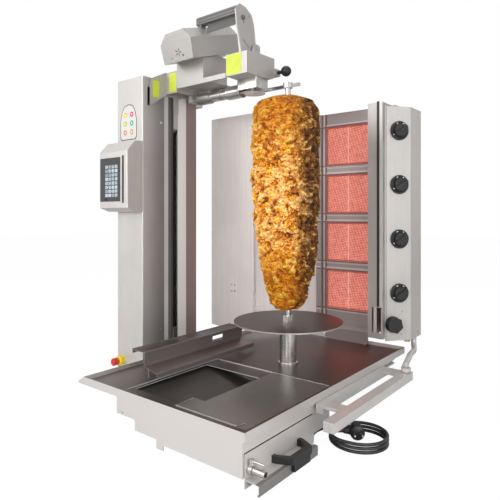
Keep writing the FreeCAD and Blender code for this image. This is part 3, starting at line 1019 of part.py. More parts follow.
def arc_from(start, direction, end):
    """Arc that leaves a point in a direction and ends at another point."""
    chord = end - start
    direction.normalize()
    half = direction.getAngle(chord)
    corner = start + direction * (chord.Length / 2 / math.cos(half))
    middle = (start + end) * 0.5
    share = math.cos(half) / (1 + math.cos(half))
    return Part.Arc(start, middle + (corner - middle) * share, end).toShape()


def coil_wire():
    """The coil's path: biarcs of a quarter turn on a helix, each joined tangent to the next."""
    steps = max(2, round(COIL_TURNING / 90.0))
    edges = []
    for i in range(steps):
        start, leaving = coil_point(COIL_TURNING * i / steps)
        end, arriving = coil_point(COIL_TURNING * (i + 1) / steps)
        gap = end - start
        both = leaving + arriving
        a = both.dot(both) - 4.0
        b = -2.0 * gap.dot(both)
        c = gap.dot(gap)
        root = math.sqrt(b * b - 4 * a * c)
        reach = max((-b - root) / (2 * a), (-b + root) / (2 * a))
        joint = (start + leaving * reach + end - arriving * reach) * 0.5
        edges.append(arc_from(start, leaving, joint))
        edges.append(arc_from(joint, (end - arriving * reach) - (start + leaving * reach), end))
    return Part.Wire(edges)


def build_coil():
    """Loose turns of cord as one unbroken tube, with the least gap to itself printed."""
    wire = coil_wire()
    start, leaving = coil_point(0)
    solid = wire.makePipeShell([Part.Wire(Part.makeCircle(CORD_D / 2, start, leaving))], True, False)
    samples = [coil_point(angle)[0] for angle in range(0, int(COIL_TURNING), 3)]
    least = min((p - q).Length for i, p in enumerate(samples) for q in samples[i + 60:])
    expected = math.pi * CORD_D ** 2 / 4 * wire.Length
    print("coil length", round(wire.Length, 1), "least gap to itself", round(least - CORD_D, 2),
          "volume share", round(solid.Volume / expected, 4))
    return solid


def build_cord():
    """Cable gland under the housing, lead, coil, tail and two-pin plug."""
    exit_x, exit_y, exit_z = 192.0, -170.0, 10.0
    gland = fuse(box(exit_x - 12, exit_x + 12, exit_y - 34, exit_y - 12, 3, FLOOR_Z),
                 rod(6.5, (exit_x, exit_y - 13, exit_z), (0, 1, 0), 13))
    save("cord_gland", gland)
    first, leaving = coil_point(0)
    lead = [Vector(exit_x, exit_y, exit_z), Vector(exit_x, exit_y + 37, exit_z), Vector(exit_x + 14, exit_y + 74, 5.4),
            first - leaving * 36, first]
    save("cord_lead", swept_tube(lead, CORD_D))
    save("cord_coil", build_coil())

    last, going = coil_point(COIL_TURNING)
    facing = Vector(0.6, -0.8, 0)
    side = Vector(0.8, 0.6, 0)
    centre = Vector(PLUG_X, PLUG_Y, PLUG_LIFT)
    boss_end = centre - side * 34
    tail = [last, last + going * 18, Vector(264, -193, 30), Vector(251, -180.5, 30.6), Vector(243.5, -162, 30.5),
            boss_end - side * 22, boss_end]
    save("cord_tail", swept_tube(tail, CORD_D))
    body = Part.makeCylinder(PLUG_R, PLUG_THICK, centre - facing * (PLUG_THICK / 2), facing)
    boss = Part.makeCone(6, 11, 20, boss_end, side)
    prongs = []
    for offset in (-PRONG_SPACING / 2, PRONG_SPACING / 2):
        root = centre + facing * (PLUG_THICK / 2 - 2) + side * offset
        prongs.append(Part.makeCylinder(PRONG_R, PRONG_L + 2, root, facing))
    save("mains_plug", fuse(body, boss, *prongs))


def main():
    """Build every sub-part."""
    os.makedirs("parts", exist_ok=True)
    build_base()
    build_cover()
    build_drawer()
    build_trough()
    build_spit()
    build_tower()
    build_column()
    build_arm()
    build_head()
    build_support()
    build_burners()
    build_frame()
    build_cord()


main()
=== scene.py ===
"""Looks of an automatic doner kebab grill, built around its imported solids."""

import logging
import math
from dataclasses import dataclass
from enum import Enum
from typing import Any, Sequence

import bmesh
import bpy
from mathutils import Matrix, Vector


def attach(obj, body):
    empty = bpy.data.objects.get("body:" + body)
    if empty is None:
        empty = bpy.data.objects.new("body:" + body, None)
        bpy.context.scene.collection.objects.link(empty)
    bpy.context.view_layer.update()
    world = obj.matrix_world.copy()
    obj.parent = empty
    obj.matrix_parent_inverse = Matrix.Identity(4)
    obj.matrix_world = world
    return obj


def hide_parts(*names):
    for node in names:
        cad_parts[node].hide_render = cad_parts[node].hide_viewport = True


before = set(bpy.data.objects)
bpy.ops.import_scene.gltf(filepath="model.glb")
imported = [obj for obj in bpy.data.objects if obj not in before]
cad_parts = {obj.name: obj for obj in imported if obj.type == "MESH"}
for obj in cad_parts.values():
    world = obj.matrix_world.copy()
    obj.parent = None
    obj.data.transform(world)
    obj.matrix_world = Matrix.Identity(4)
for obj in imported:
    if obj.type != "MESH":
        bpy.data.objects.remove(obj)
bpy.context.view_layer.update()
log = logging.getLogger("doner_grill")

Colour = tuple[float, float, float]
Point = tuple[float, float, float]
Range = tuple[float, float]

WINDOW_HEIGHTS = (0.831, 0.650, 0.471, 0.292)
WINDOW_HALF = 0.0725
WINDOW_LEFT = -0.094
WINDOW_RIGHT = 0.087
WHITE = (1.0, 1.0, 1.0)


def shaded(colour: Colour, factor: float) -> Colour:
    """Colour with each part multiplied."""
    return tuple(c * factor for c in colour)


class Grain(Enum):
    """Direction in which a sheet was brushed."""

    ACROSS = (5.0, 420.0, 420.0)
    DEEP = (420.0, 5.0, 420.0)
    UPRIGHT = (420.0, 420.0, 5.0)


class Term:
    """A node's output, with arithmetic that adds Math nodes."""

    def __init__(self, graph: "Graph", socket: bpy.types.NodeSocket) -> None:
        """Keeps the graph and the socket.

        Args:
            graph: The node tree's helper.
            socket: The output that this term stands for.
        """
        self.graph = graph
        self.socket = socket

    def _math(self, operation: str, *values: Any) -> "Term":
        """Adds one Math node.

        Args:
            operation: The node's operation.
            values: Numbers or terms for its inputs, in order.

        Returns:
            The node's result.
        """
        return self.graph.add("ShaderNodeMath", {"operation": operation}, dict(enumerate(values)))

    def __add__(self, other: Any) -> "Term":
        """Sum of two values."""
        return self._math("ADD", self, other)

    __radd__ = __add__

    def __mul__(self, other: Any) -> "Term":
        """Product of two values."""
        return self._math("MULTIPLY", self, other)

    __rmul__ = __mul__

    def __sub__(self, other: Any) -> "Term":
        """Difference of two values."""
        return self._math("SUBTRACT", self, other)

    def __rsub__(self, other: Any) -> "Term":
        """Difference of two values, the other way round."""
        return self._math("SUBTRACT", other, self)

    def __gt__(self, other: Any) -> "Term":
        """One where this is above the other value, else zero."""
        return self._math("GREATER_THAN", self, other)

    def __lt__(self, other: Any) -> "Term":
        """One where this is below the other value, else zero."""
        return self._math("LESS_THAN", self, other)

    def size(self) -> "Term":
        """Value without its sign."""
        return self._math("ABSOLUTE", self)

    def wrap(self) -> "Term":
        """Fractional part of the value."""
        return self._math("FRACT", self)

    def whole(self) -> "Term":
        """Value rounded down."""
        return self._math("FLOOR", self)

    def most(self, other: Any) -> "Term":
        """Larger of two values."""
        return self._math("MAXIMUM", self, other)

    def power(self, exponent: float) -> "Term":
        """Value to a power."""
        return self._math("POWER", self, exponent)

    def between(self, low: float, high: float) -> "Term":
        """One where the value lies between two limits, else zero."""
        return (self > low) * (self < high)

    def ease(self, low: float, high: float) -> "Term":
        """Smooth step from zero at low to one at high.

        Args:
            low: Value that gives zero.
            high: Value that gives one.

        Returns:
            The share between them.
        """
        settings = {"interpolation_type": "SMOOTHSTEP", "clamp": True}
        limits = {"Value": self, "From Min": low, "From Max": high}
        return self.graph.add("ShaderNodeMapRange", settings, limits)


class Graph:
    """One node tree with a short way to add a node."""

    def __init__(self, tree: bpy.types.NodeTree) -> None:
        """Keeps the tree.

        Args:
            tree: Shader or geometry tree to fill.
        """
        self.tree = tree

    def feed(self, socket: bpy.types.NodeSocket, value: Any) -> None:
        """Links or sets one input.

        Args:
            socket: The input.
            value: A term, a number, a colour or a vector.
        """
        if isinstance(value, Term):
            self.tree.links.new(value.socket, socket)
        elif socket.type == "RGBA" and len(value) == 3:
            socket.default_value = (*value, 1.0)
        else:
            socket.default_value = value

    def node(self, kind: str, settings: dict[str, Any] | None = None,
             inputs: dict[Any, Any] | None = None) -> bpy.types.Node:
        """Adds a node, sets it and feeds it.

        Args:
            kind: The node's type.
            settings: The node's own settings, set first.
            inputs: Values or terms by input name or number.

        Returns:
            The node.
        """
        made = self.tree.nodes.new(kind)
        for name, value in (settings or {}).items():
            setattr(made, name, value)
        for name, value in (inputs or {}).items():
            self.feed(made.inputs[name], value)
        return made

    def add(self, kind: str, settings: dict[str, Any] | None = None,
            inputs: dict[Any, Any] | None = None, out: Any = 0) -> Term:
        """Adds a node and gives one of its outputs.

        Args:
            kind: The node's type.
            settings: The node's own settings, set first.
            inputs: Values or terms by input name or number.
            out: Name or number of the output.

        Returns:
            That output.
        """
        return Term(self, self.node(kind, settings, inputs).outputs[out])

    def vector(self, operation: str, *values: Any) -> Term:
        """Result of one Vector Math node.

        Args:
            operation: The node's operation.
            values: Vectors or terms for its inputs, in order.

        Returns:
            The vector that it gives.
        """
        return self.add("ShaderNodeVectorMath", {"operation": operation}, dict(enumerate(values)))

    def joined(self, x: Any, y: Any, z: Any = 0.0) -> Term:
        """Vector from three numbers or terms."""
        return self.add("ShaderNodeCombineXYZ", None, {0: x, 1: y, 2: z})

    def cells(self, where: Term, scale: Any, feature: str = "F1") -> bpy.types.Node:
        """Voronoi pattern.

        Args:
            where: Coordinates that it follows.
            scale: Cells in a metre.
            feature: What it measures.

        Returns:
            The node.
        """
        return self.node("ShaderNodeTexVoronoi", {"feature": feature}, {"Vector": where, "Scale": scale})

    def edges(self, where: Term, scale: Any) -> Term:
        """Distance to the nearest edge of a Voronoi pattern."""
        return Term(self, self.cells(where, scale, "DISTANCE_TO_EDGE").outputs["Distance"])

    def noise(self, place: Term, scale: float, detail: float = 3.0, rough: float = 0.5,
              bend: float = 0.0) -> Term:
        """Cloudy pattern.

        Args:
            place: Coordinates that the pattern follows.
            scale: Waves in a metre.
            detail: Finer waves that are added.
            rough: Share of the finer waves.
            bend: Distortion.

        Returns:
            A number from zero to one.
        """
        inputs = {"Vector": place, "Scale": scale, "Detail": detail, "Roughness": rough, "Distortion": bend}
        return self.add("ShaderNodeTexNoise", {"normalize": True}, inputs)


class Paint(Graph):
    """A material under construction."""

    def __init__(self, name: str) -> None:
        """Starts a material with one principled surface.

        Args:
            name: The material's name.
        """
        self.material = bpy.data.materials.new(name)
        self.material.use_nodes = True
        super().__init__(self.material.node_tree)
        self.tree.nodes.clear()
        self.surface = self.node("ShaderNodeBsdfPrincipled")
        end = self.node("ShaderNodeOutputMaterial")
        self.tree.links.new(self.surface.outputs[0], end.inputs[0])

    def place(self) -> Term:
        """Coordinates in metres, in the piece's own frame."""
        return self.add("ShaderNodeTexCoord", out="Object")

    def stretched(self, scale: Point) -> Term:
        """Coordinates with each direction scaled.

        Args:
            scale: Factor along each direction.

        Returns:
            The scaled coordinates.
        """
        inputs = {"Vector": self.place(), "Scale": scale}
        return self.add("ShaderNodeMapping", {"vector_type": "POINT"}, inputs)

    def apart(self, vector: Term) -> tuple[Term, Term, Term]:
        """Three parts of a vector."""
        split = self.node("ShaderNodeSeparateXYZ", None, {0: vector})
        return tuple(Term(self, s) for s in split.outputs)

    def facing(self) -> tuple[Term, Term, Term]:
        """Three parts of the surface's direction, in the piece's own frame."""
        return self.apart(self.add("ShaderNodeTexCoord", out="Normal"))

    def mix(self, share: Any, first: Any, second: Any) -> Term:
        """Blend of two colours.

        Args:
            share: Share of the second colour.
            first: First colour.
            second: Second colour.

        Returns:
            The blended colour.
        """
        made = self.node("ShaderNodeMix", {"data_type": "RGBA"})
        for socket, value in ((made.inputs[0], share), (made.inputs[6], first), (made.inputs[7], second)):
            self.feed(socket, value)
        return Term(self, made.outputs[2])

    def ramp(self, value: Term, stops: Sequence[tuple[float, Colour]]) -> Term:
        """Colour from a value.

        Args:
            value: Number from zero to one.
            stops: Positions with their colours.

        Returns:
            The colour.
        """
        made = self.node("ShaderNodeValToRGB", None, {0: value})
        scale = made.color_ramp
        while len(scale.elements) < len(stops):
            scale.elements.new(0.5)
        for element, (at, colour) in zip(scale.elements, stops):
            element.position = at
            element.color = (*colour, 1.0)
        return Term(self, made.outputs[0])

    def relief(self, height: Term, depth: float, strength: float = 1.0) -> None:
        """Feeds a height to the surface's direction.

        Args:
            height: Number from zero to one.
            depth: Depth in metres.
            strength: Strength of the effect.
        """
        inputs = {"Height": height, "Distance": depth, "Strength": strength}
        self.feed(self.surface.inputs["Normal"], self.add("ShaderNodeBump", None, inputs))

    def set(self, **values: Any) -> None:
        """Sets the surface's inputs, with underscores for spaces in their names."""
        for name, value in values.items():
            self.feed(self.surface.inputs[name.replace("_", " ")], value)


@dataclass(frozen=True)
class Sheet:
    """Brushed stainless sheet with a soft sheen."""

    name: str
    colour: Colour
    grain: Grain
    roughness: float = 0.38
    metallic: float = 0.30
    variation: float = 0.05
    painted_shade: Colour | None = None
    fade: Range = (-0.175, -0.068)
    inside: tuple[Range, Range, Range] | None = None
    hollow_shade: Colour = (0.035, 0.033, 0.031)
    lip_shade: Colour = (0.13, 0.125, 0.12)

    def make(self) -> bpy.types.Material:
        """Builds the finish with its brushing lines, cloudy handling marks and fine relief.

        With a shade colour, faces turned to the right grow darker toward the back and the bottom, as painted
        shade. With an inside, what lies between its limits is dark with painted shade, and so is the
        turned-down lip below the drawer's shelf.

        Returns:
            The material.
        """
        paint = Paint(self.name)
        lines = paint.noise(paint.stretched(self.grain.value), 1.0, 2.0, 0.6)
        cloud = paint.noise(paint.place(), 7.0, 4.0, 0.55, 0.4)
        tone = lines * 0.55 + cloud * 0.45
        darker = tuple(c * (1.0 - 2.2 * self.variation) for c in self.colour)
        lighter = tuple(min(1.0, c * (1.0 + 1.2 * self.variation)) for c in self.colour)
        colour = paint.mix(tone.ease(0.25, 0.75), darker, lighter)
        # Painted shade: faces turned to the right darken toward the back and toward the bottom.
        if self.painted_shade:
            right, _, _ = paint.facing()
            _, y, z = paint.apart(paint.place())
            deep = y.ease(*self.fade) * 0.75 + (0.5 - z).ease(0.0, 0.5) * 0.25
            colour = paint.mix(right.ease(0.5, 0.9) * (deep * 0.8 + 0.2), colour, self.painted_shade)
        # Painted shade: the housing's inside and the lip below the drawer's shelf are darkened.
        if self.inside:
            x, y, z = paint.apart(paint.place())
            across, deep, up = self.inside
            share = x.between(*across) * y.between(*deep) * z.between(*up)
            colour = paint.mix(share * 0.85, colour, self.hollow_shade)
            edge = x.ease(0.2455, 0.2465) * z.ease(0.040, 0.035)
            colour = paint.mix(edge * 0.85, colour, self.lip_shade)
        paint.set(Base_Color=colour,
                  Metallic=self.metallic,
                  Roughness=tone * 0.16 + (self.roughness - 0.08))
        paint.relief(lines, 0.00025, 0.25)
        return paint.material


@dataclass(frozen=True)
class Deck:
    """Rolled sheet of the table, darker where it lies flat and reddened beside the burners, both painted
    reflection.
    """

    name: str
    upright: Colour
    flat: Colour
    burner_reflection: Colour
    centre: Range
    reach: float
    leftward: float = 2.3

    def make(self) -> bpy.types.Material:
        """Builds the finish from the sheet's direction, its place and its brushing; the back gets painted
        shadow.

        A sheet that brightens leftward does so over the whole table, one that darkens only at its end.

        Returns:
            The material.
        """
        paint = Paint(self.name)
        x, y, _ = paint.apart(paint.place())
        _, _, up = paint.facing()
        lines = paint.noise(paint.stretched(Grain.DEEP.value), 1.0, 2.0, 0.6)
        cloud = paint.noise(paint.place(), 5.0, 4.0, 0.6, 0.6)
        # Painted red reflection of the burners, strongest at the centre and gone beyond the reach.
        near = ((x - self.centre[0]).power(2.0) + (y - self.centre[1]).power(2.0)).power(0.5)
        warm = (1.0 - near.ease(0.02, self.reach)) * (0.35 + cloud * 0.5)
        left = (0.16, 0.40) if self.leftward > 1 else (0.225, 0.245)
        light = (0.0 - x).ease(*left)
        flat = paint.mix(light, self.flat, shaded(self.flat, self.leftward))
        # Painted shadow of the burner unit toward the back.
        flat = paint.mix(y.ease(0.22, 0.36) * 0.5, flat, shaded(self.flat, 0.3))
        flat = paint.mix(warm, flat, self.burner_reflection)
        flat = paint.mix(cloud.ease(0.35, 0.75) * 0.35, flat, shaded(self.flat, 1.5))
        # Flat faces take the darker flat colour as a painted reflection of the dark parts above them.
        level = up.ease(0.6, 0.95)
        paint.set(Base_Color=paint.mix(level, self.upright, flat),
                  Metallic=0.6 + level * 0.3,
                  Roughness=0.38 - level * 0.06 + lines * 0.10)
        paint.relief(lines, 0.0002, 0.2)
        return paint.material


@dataclass(frozen=True)
class Moulded:
    """Moulded plastic or rubber with a fine sparked grain."""

    name: str
    colour: Colour
    roughness: float = 0.45
    grain: float = 900.0
    depth: float = 0.00012

    def make(self) -> bpy.types.Material:
        """Builds the finish with its grain, faint flow marks and rubbed spots.

        Returns:
            The material.
        """
        paint = Paint(self.name)
        grain = paint.noise(paint.place(), self.grain, 2.0, 0.6)
        rub = paint.noise(paint.place(), 26.0, 4.0, 0.6, 0.5)
        worn = tuple(min(1.0, c * 1.5 + 0.012) for c in self.colour)
        paint.set(Base_Color=paint.mix(rub.ease(0.45, 0.8), self.colour, worn),
                  Roughness=grain * 0.12 + rub * 0.14 + (self.roughness - 0.13))
        paint.relief(grain, self.depth, 0.5)
        return paint.material


@dataclass(frozen=True)
class Polished:
    """Turned or polished metal of rods, knurls and fasteners."""

    name: str
    colour: Colour
    roughness: float = 0.22

    def make(self) -> bpy.types.Material:
        """Builds the finish with turning marks and stains.

        Returns:
            The material.
        """
        paint = Paint(self.name)
        marks = paint.noise(paint.stretched((60.0, 60.0, 1400.0)), 1.0, 2.0, 0.6)
        stain = paint.noise(paint.place(), 40.0, 4.0, 0.6)
        worn = shaded(self.colour, 0.7)
        paint.set(Base_Color=paint.mix(stain.ease(0.3, 0.8), self.colour, worn),
                  Metallic=0.9,
                  Roughness=marks * 0.14 + stain * 0.1 + (self.roughness - 0.1))
        paint.relief(marks, 0.0001, 0.3)
        return paint.material


@dataclass(frozen=True)
class Plaque:
    """Glowing ceramic burner plaque with rows of fine holes."""

    name: str
    low: Colour
    high: Colour
    pitch: float
    rim: Colour = (0.22, 0.018, 0.012)
    scratch: Colour = (0.90, 0.42, 0.34)
    seam: Colour = (0.93, 0.55, 0.48)

    def make(self) -> bpy.types.Material:
        """Builds the finish with its hole grid, the joint between two plaques and its darker rim.

        Returns:
            The material.
        """
        paint = Paint(self.name)
        x, _, z = paint.apart(paint.place())
        across = ((x * (1.0 / self.pitch)).wrap() - 0.5).size()
        down = ((z * (1.0 / self.pitch)).wrap() - 0.5).size()
        holes = (across.power(2.0) + down.power(2.0)).power(0.5).ease(0.36, 0.2)
        patch = paint.noise(paint.place(), 60.0, 4.0, 0.7)
        fine = paint.noise(paint.place(), 330.0, 2.0, 0.6)
        half = (WINDOW_RIGHT - WINDOW_LEFT) / 2
        aside = (x - (WINDOW_LEFT + WINDOW_RIGHT) / 2.0).size()
        joint = aside.ease(0.004, 0.0008)
        rim = 1.0 - aside.ease(half - 0.001, half - 0.010)
        for centre in WINDOW_HEIGHTS:
            rim = rim + (z - centre).size().between(WINDOW_HALF - 0.006, WINDOW_HALF + 0.012)
        tone = patch * 0.55 + fine * 0.45
        colour = paint.mix(tone.ease(0.3, 0.7), self.low, self.high)
        hatch = ((x * 90.0 + z * 30.0).wrap() - 0.5).size() * ((z * 110.0 - x * 20.0).wrap() - 0.5).size()
        colour = paint.mix(holes * 0.40, colour, shaded(self.low, 0.45))
        colour = paint.mix(hatch.ease(0.04, 0.16) * 0.45, colour, self.scratch)
        colour = paint.mix(joint * 0.45, colour, self.seam)
        colour = paint.mix(rim.ease(0.0, 1.0) * 0.6, colour, self.rim)
        paint.set(Base_Color=colour, Roughness=0.85, Emission_Color=colour, Emission_Strength=0.30)
        paint.relief(holes, -0.0008, 0.6)
        return paint.material


@dataclass(frozen=True)
class Surround:
    """Sheet round the burner windows, with painted shade in its gaps and on its front faces, and pale
    flanges.
    """

    name: str
    sheet: Colour
    front: Colour
    gap_shade: Colour

    def make(self) -> bpy.types.Material:
        """Builds the finish from the face's direction and its distance to the windows.

        Returns:
            The material.
        """
        paint = Paint(self.name)
        x, y, z = paint.apart(paint.place())
        _, toward, _ = paint.facing()
        lines = paint.noise(paint.stretched(Grain.ACROSS.value), 1.0, 2.0, 0.6)
        cloud = paint.noise(paint.place(), 6.0, 4.0, 0.55, 0.4)
        # Painted shade: the gaps round each window and beside the left window are darkened.
        near = x.between(WINDOW_LEFT - 0.008, WINDOW_LEFT)
        near = near + x.between(WINDOW_LEFT - 0.021, WINDOW_LEFT - 0.016)
        pale = x.between(WINDOW_LEFT - 0.016, WINDOW_LEFT - 0.009)
        for centre in WINDOW_HEIGHTS:
            reach = (z - centre).size()
            near = near + reach.between(WINDOW_HALF - 0.001, WINDOW_HALF + 0.004)
            pale = pale + reach.between(WINDOW_HALF + 0.0045, WINDOW_HALF + 0.011)
        # Painted shade with a red cast from the burners: front faces near the windows take the darker, redder
        # front colour.
        ahead = (0.0 - toward).ease(0.5, 0.9)
        colour = paint.mix(cloud, self.front, shaded(self.front, 0.75))
        colour = paint.mix(pale.ease(0.0, 1.0) * 0.7, colour, shaded(self.front, 1.9))
        colour = paint.mix(near.ease(0.0, 1.0) * 0.85, colour, self.gap_shade)
        plain = paint.mix(cloud, self.sheet, shaded(self.sheet, 0.85))
        colour = paint.mix(ahead * y.between(0.30, 0.42), plain, colour)
        paint.set(Base_Color=paint.mix(lines * 0.2, colour, shaded(self.sheet, 0.7)),
                  Metallic=0.3, Roughness=lines * 0.16 + 0.34)
        paint.relief(lines, 0.00025, 0.25)
        return paint.material


@dataclass(frozen=True)
class Roast:
    """Roasted meat: golden, orange and browned slices, with painted shade and painted highlights on its
    relief.
    """

    name: str
    slices: float = 66.0
    shreds: float = 152.0

    def make(self) -> bpy.types.Material:
        """Builds the finish from the slices' height, which is kept on the mesh, and from fine spots; the
        height paints shade in the hollows and highlights on the raised flakes.

        Returns:
            The material.
        """
        paint = Paint(self.name)
        lift = paint.add("ShaderNodeAttribute", {"attribute_name": "lift"}, out="Fac")
        where = paint.add("ShaderNodeAttribute", {"attribute_name": "slices"}, out="Vector")
        x, y, z = paint.apart(paint.place())
        big = self._chance(paint, where, self.slices)
        small = self._chance(paint, where, self.shreds)
        blot = paint.noise(paint.place(), 22.0, 5.0, 0.62, 0.8)
        crumb = paint.noise(paint.place(), 210.0, 5.0, 0.78, 0.8)
        char = paint.noise(paint.place(), 70.0, 6.0, 0.80, 1.2)
        edge = paint.edges(where, self.slices)
        seam = paint.edges(where, self.shreds)
        # The slices' lift drives the tone: hollows go near black with painted shade and raised flakes go pale
        # with painted highlight, over the meat's own browning.
        tone = (lift - 0.39) * 0.70 + (crumb - 0.5) * 1.05 + (blot - 0.5) * 0.5
        tone = tone + (big - 0.5) * 0.22 + (small - 0.5) * 0.22
        golden = paint.ramp(tone + 0.5, [(0.16, (0.026, 0.006, 0.001)), (0.30, (0.27, 0.060, 0.002)),
                                         (0.42, (0.62, 0.170, 0.002)), (0.54, (0.90, 0.35, 0.003)),
                                         (0.69, (1.0, 0.54, 0.010)), (0.88, (1.0, 0.80, 0.12))])
        creamy = paint.ramp(tone + 0.5, [(0.16, (0.060, 0.014, 0.004)), (0.33, (0.48, 0.145, 0.030)),
                                         (0.49, (0.86, 0.39, 0.100)), (0.65, (1.0, 0.60, 0.22)),
                                         (0.85, (1.0, 0.88, 0.55))])
        middle = (z - 0.62).size().ease(0.30, 0.05)
        pale = paint.mix((big * 0.6 + small * 0.4).ease(0.40, 0.62) * (middle * 0.75 + 0.05), golden, creamy)
        # Dark crevices between slices: painted shade, with some real crisping at the slice edges.
        crevice_shade = (edge.ease(0.060, 0.0) * 0.7 + seam.ease(0.07, 0.0) * 0.4) * crumb.ease(0.62, 0.40)
        burnt = char.ease(0.57, 0.68) * (0.92 - middle * 0.30)
        crust = paint.mix(burnt, paint.mix(crevice_shade, pale, (0.075, 0.020, 0.004)), (0.060, 0.017, 0.004))
        # The side toward the right and back darkens: partly browning nearest the burners, partly painted
        # shade on the side away from the key lamp.
        far = ((x * 0.80 + y * 0.60) * 10.0 + (char - 0.5) * 1.2).ease(-0.02, 0.62)
        dark = paint.ramp(tone + 0.5, [(0.28, (0.012, 0.004, 0.001)), (0.54, (0.085, 0.029, 0.007)),
                                       (0.70, (0.28, 0.11, 0.022)), (0.90, (0.80, 0.52, 0.20))])
        warm = paint.mix((1.0 - middle) * 0.50, crust, (0.31, 0.085, 0.002))
        paint.set(Base_Color=paint.mix(far * 0.90, warm, dark),
                  Roughness=0.42 + crumb * 0.34,
                  Coat_Weight=blot.ease(0.50, 0.75) * 0.18,
                  Coat_Roughness=0.16,
                  Specular_IOR_Level=0.22,
                  Subsurface_Weight=0.03)
        paint.surface.inputs["Subsurface Radius"].default_value = (0.006, 0.0025, 0.001)
        joints = edge.ease(0.0, 0.12) * 0.15 + seam.ease(0.0, 0.12) * 0.10
        paint.relief(crumb * 0.45 + char * 0.30 + joints, 0.0040, 0.9)
        return paint.material

    def _chance(self, paint: Paint, where: Term, scale: float) -> Term:
        """One number for each slice.

        Args:
            paint: The material under construction.
            where: The slices' own coordinates.
            scale: Slices in a metre.

        Returns:
            A number from zero to one.
        """
        colours = Term(paint, paint.cells(where, scale).outputs["Color"])
        return paint.add("ShaderNodeSeparateColor", None, {0: colours})


@dataclass(frozen=True)
class Column:
    """Lift column: on its right face a groove of painted shade, a bright strip and a warmer back strip."""

    name: str
    dark: Colour
    bright: Colour
    warm: Colour

    def make(self) -> bpy.types.Material:
        """Builds the finish from bands along the depth, and leaves the other faces plain.

        Returns:
            The material.
        """
        paint = Paint(self.name)
        _, y, z = paint.apart(paint.place())
        lines = paint.noise(paint.stretched(Grain.UPRIGHT.value), 1.0, 2.0, 0.6)
        cloud = paint.noise(paint.place(), 6.0, 4.0, 0.55)
        # Painted shade: the back strip and the bright strip darken toward the bottom.
        low = (0.55 - z).ease(0.0, 0.5) * 0.35
        back = paint.mix(cloud * 0.5 + low, self.warm, shaded(self.warm, 0.5))
        strip = paint.mix(low, self.bright, shaded(self.bright, 0.6))
        # Painted shade: the groove is a near-black band on the right face, with a dim band at its edge.
        colour = paint.mix(y.ease(-0.0015, 0.0), self.dark, strip)
        colour = paint.mix(y.ease(0.040, 0.044), colour, back)
        edge = paint.mix(y.ease(-0.049, -0.045), shaded(self.bright, 0.62), shaded(self.bright, 0.08))
        colour = paint.mix(y.ease(-0.034, -0.030), edge, colour)
        right, _, _ = paint.facing()
        plain = shaded(self.bright, 0.55)
        plain = paint.mix(cloud, plain, shaded(plain, 0.85))
        colour = paint.mix(right.ease(0.4, 0.8), plain, colour)
        paint.set(Base_Color=paint.mix(lines * 0.12, colour, shaded(self.bright, 0.75)),
                  Metallic=0.1, Roughness=0.40 + lines * 0.16)
        paint.relief(lines, 0.0002, 0.25)
        return paint.material


@dataclass(frozen=True)
class Display:
    """Glass of the control panel with a lit field of plain tiles."""

    name: str
    left: float
    right: float
    low: float
    high: float
    columns: int = 4
    rows: int = 8

    def make(self) -> bpy.types.Material:
        """Builds the finish with rows of soft tiles of differing brightness on a dark ground.

        Returns:
            The material.
        """
        paint = Paint(self.name)
        x, _, z = paint.apart(paint.place())
        inside = x.between(self.left, self.right) * z.between(self.low, self.high)
        across = (x - self.left) * (self.columns / (self.right - self.left))
        up = (z - self.low) * (self.rows / (self.high - self.low))
        tile = (across.wrap() - 0.5).size().ease(0.44, 0.36) * (up.wrap() - 0.5).size().ease(0.42, 0.34)
        cell = paint.joined(across.whole(), up.whole())
        chance = paint.add("ShaderNodeTexWhiteNoise", {"noise_dimensions": "2D"}, {"Vector": cell})
        spots = paint.noise(paint.place(), 260.0, 3.0, 0.7)
        lit = tile * (chance * 0.6 + 0.4) * spots.ease(0.35, 0.62)
        ground = paint.mix(inside, (0.020, 0.021, 0.023), (0.055, 0.065, 0.080))
        smear = paint.noise(paint.place(), 30.0, 4.0, 0.6)
        paint.set(Base_Color=paint.mix(lit * inside, ground, (0.62, 0.70, 0.76)),
                  Roughness=0.10 + smear * 0.12,
                  Emission_Color=paint.mix(lit * inside, (0.0, 0.0, 0.0), (0.40, 0.47, 0.52)),
                  Emission_Strength=0.5,
                  Coat_Weight=0.6, Coat_Roughness=0.05)
        return paint.material


@dataclass(frozen=True)
class Print:
    """Flat lacquered colour of plates and badges."""

    name: str
    colour: Colour
    roughness: float = 0.4

    def make(self) -> bpy.types.Material:
        """Builds the finish with faint fading and scuffs.

        Returns:
            The material.
        """
        paint = Paint(self.name)
        fade = paint.noise(paint.place(), 45.0, 4.0, 0.6)
        scuff = paint.noise(paint.stretched((300.0, 300.0, 60.0)), 1.0, 3.0, 0.7)
        faded = shaded(self.colour, 0.78)
        paint.set(Base_Color=paint.mix(fade.ease(0.4, 0.9) * 0.5, self.colour, faded),
                  Roughness=scuff * 0.2 + (self.roughness - 0.1))
        paint.relief(scuff, 0.00005, 0.3)
        return paint.material


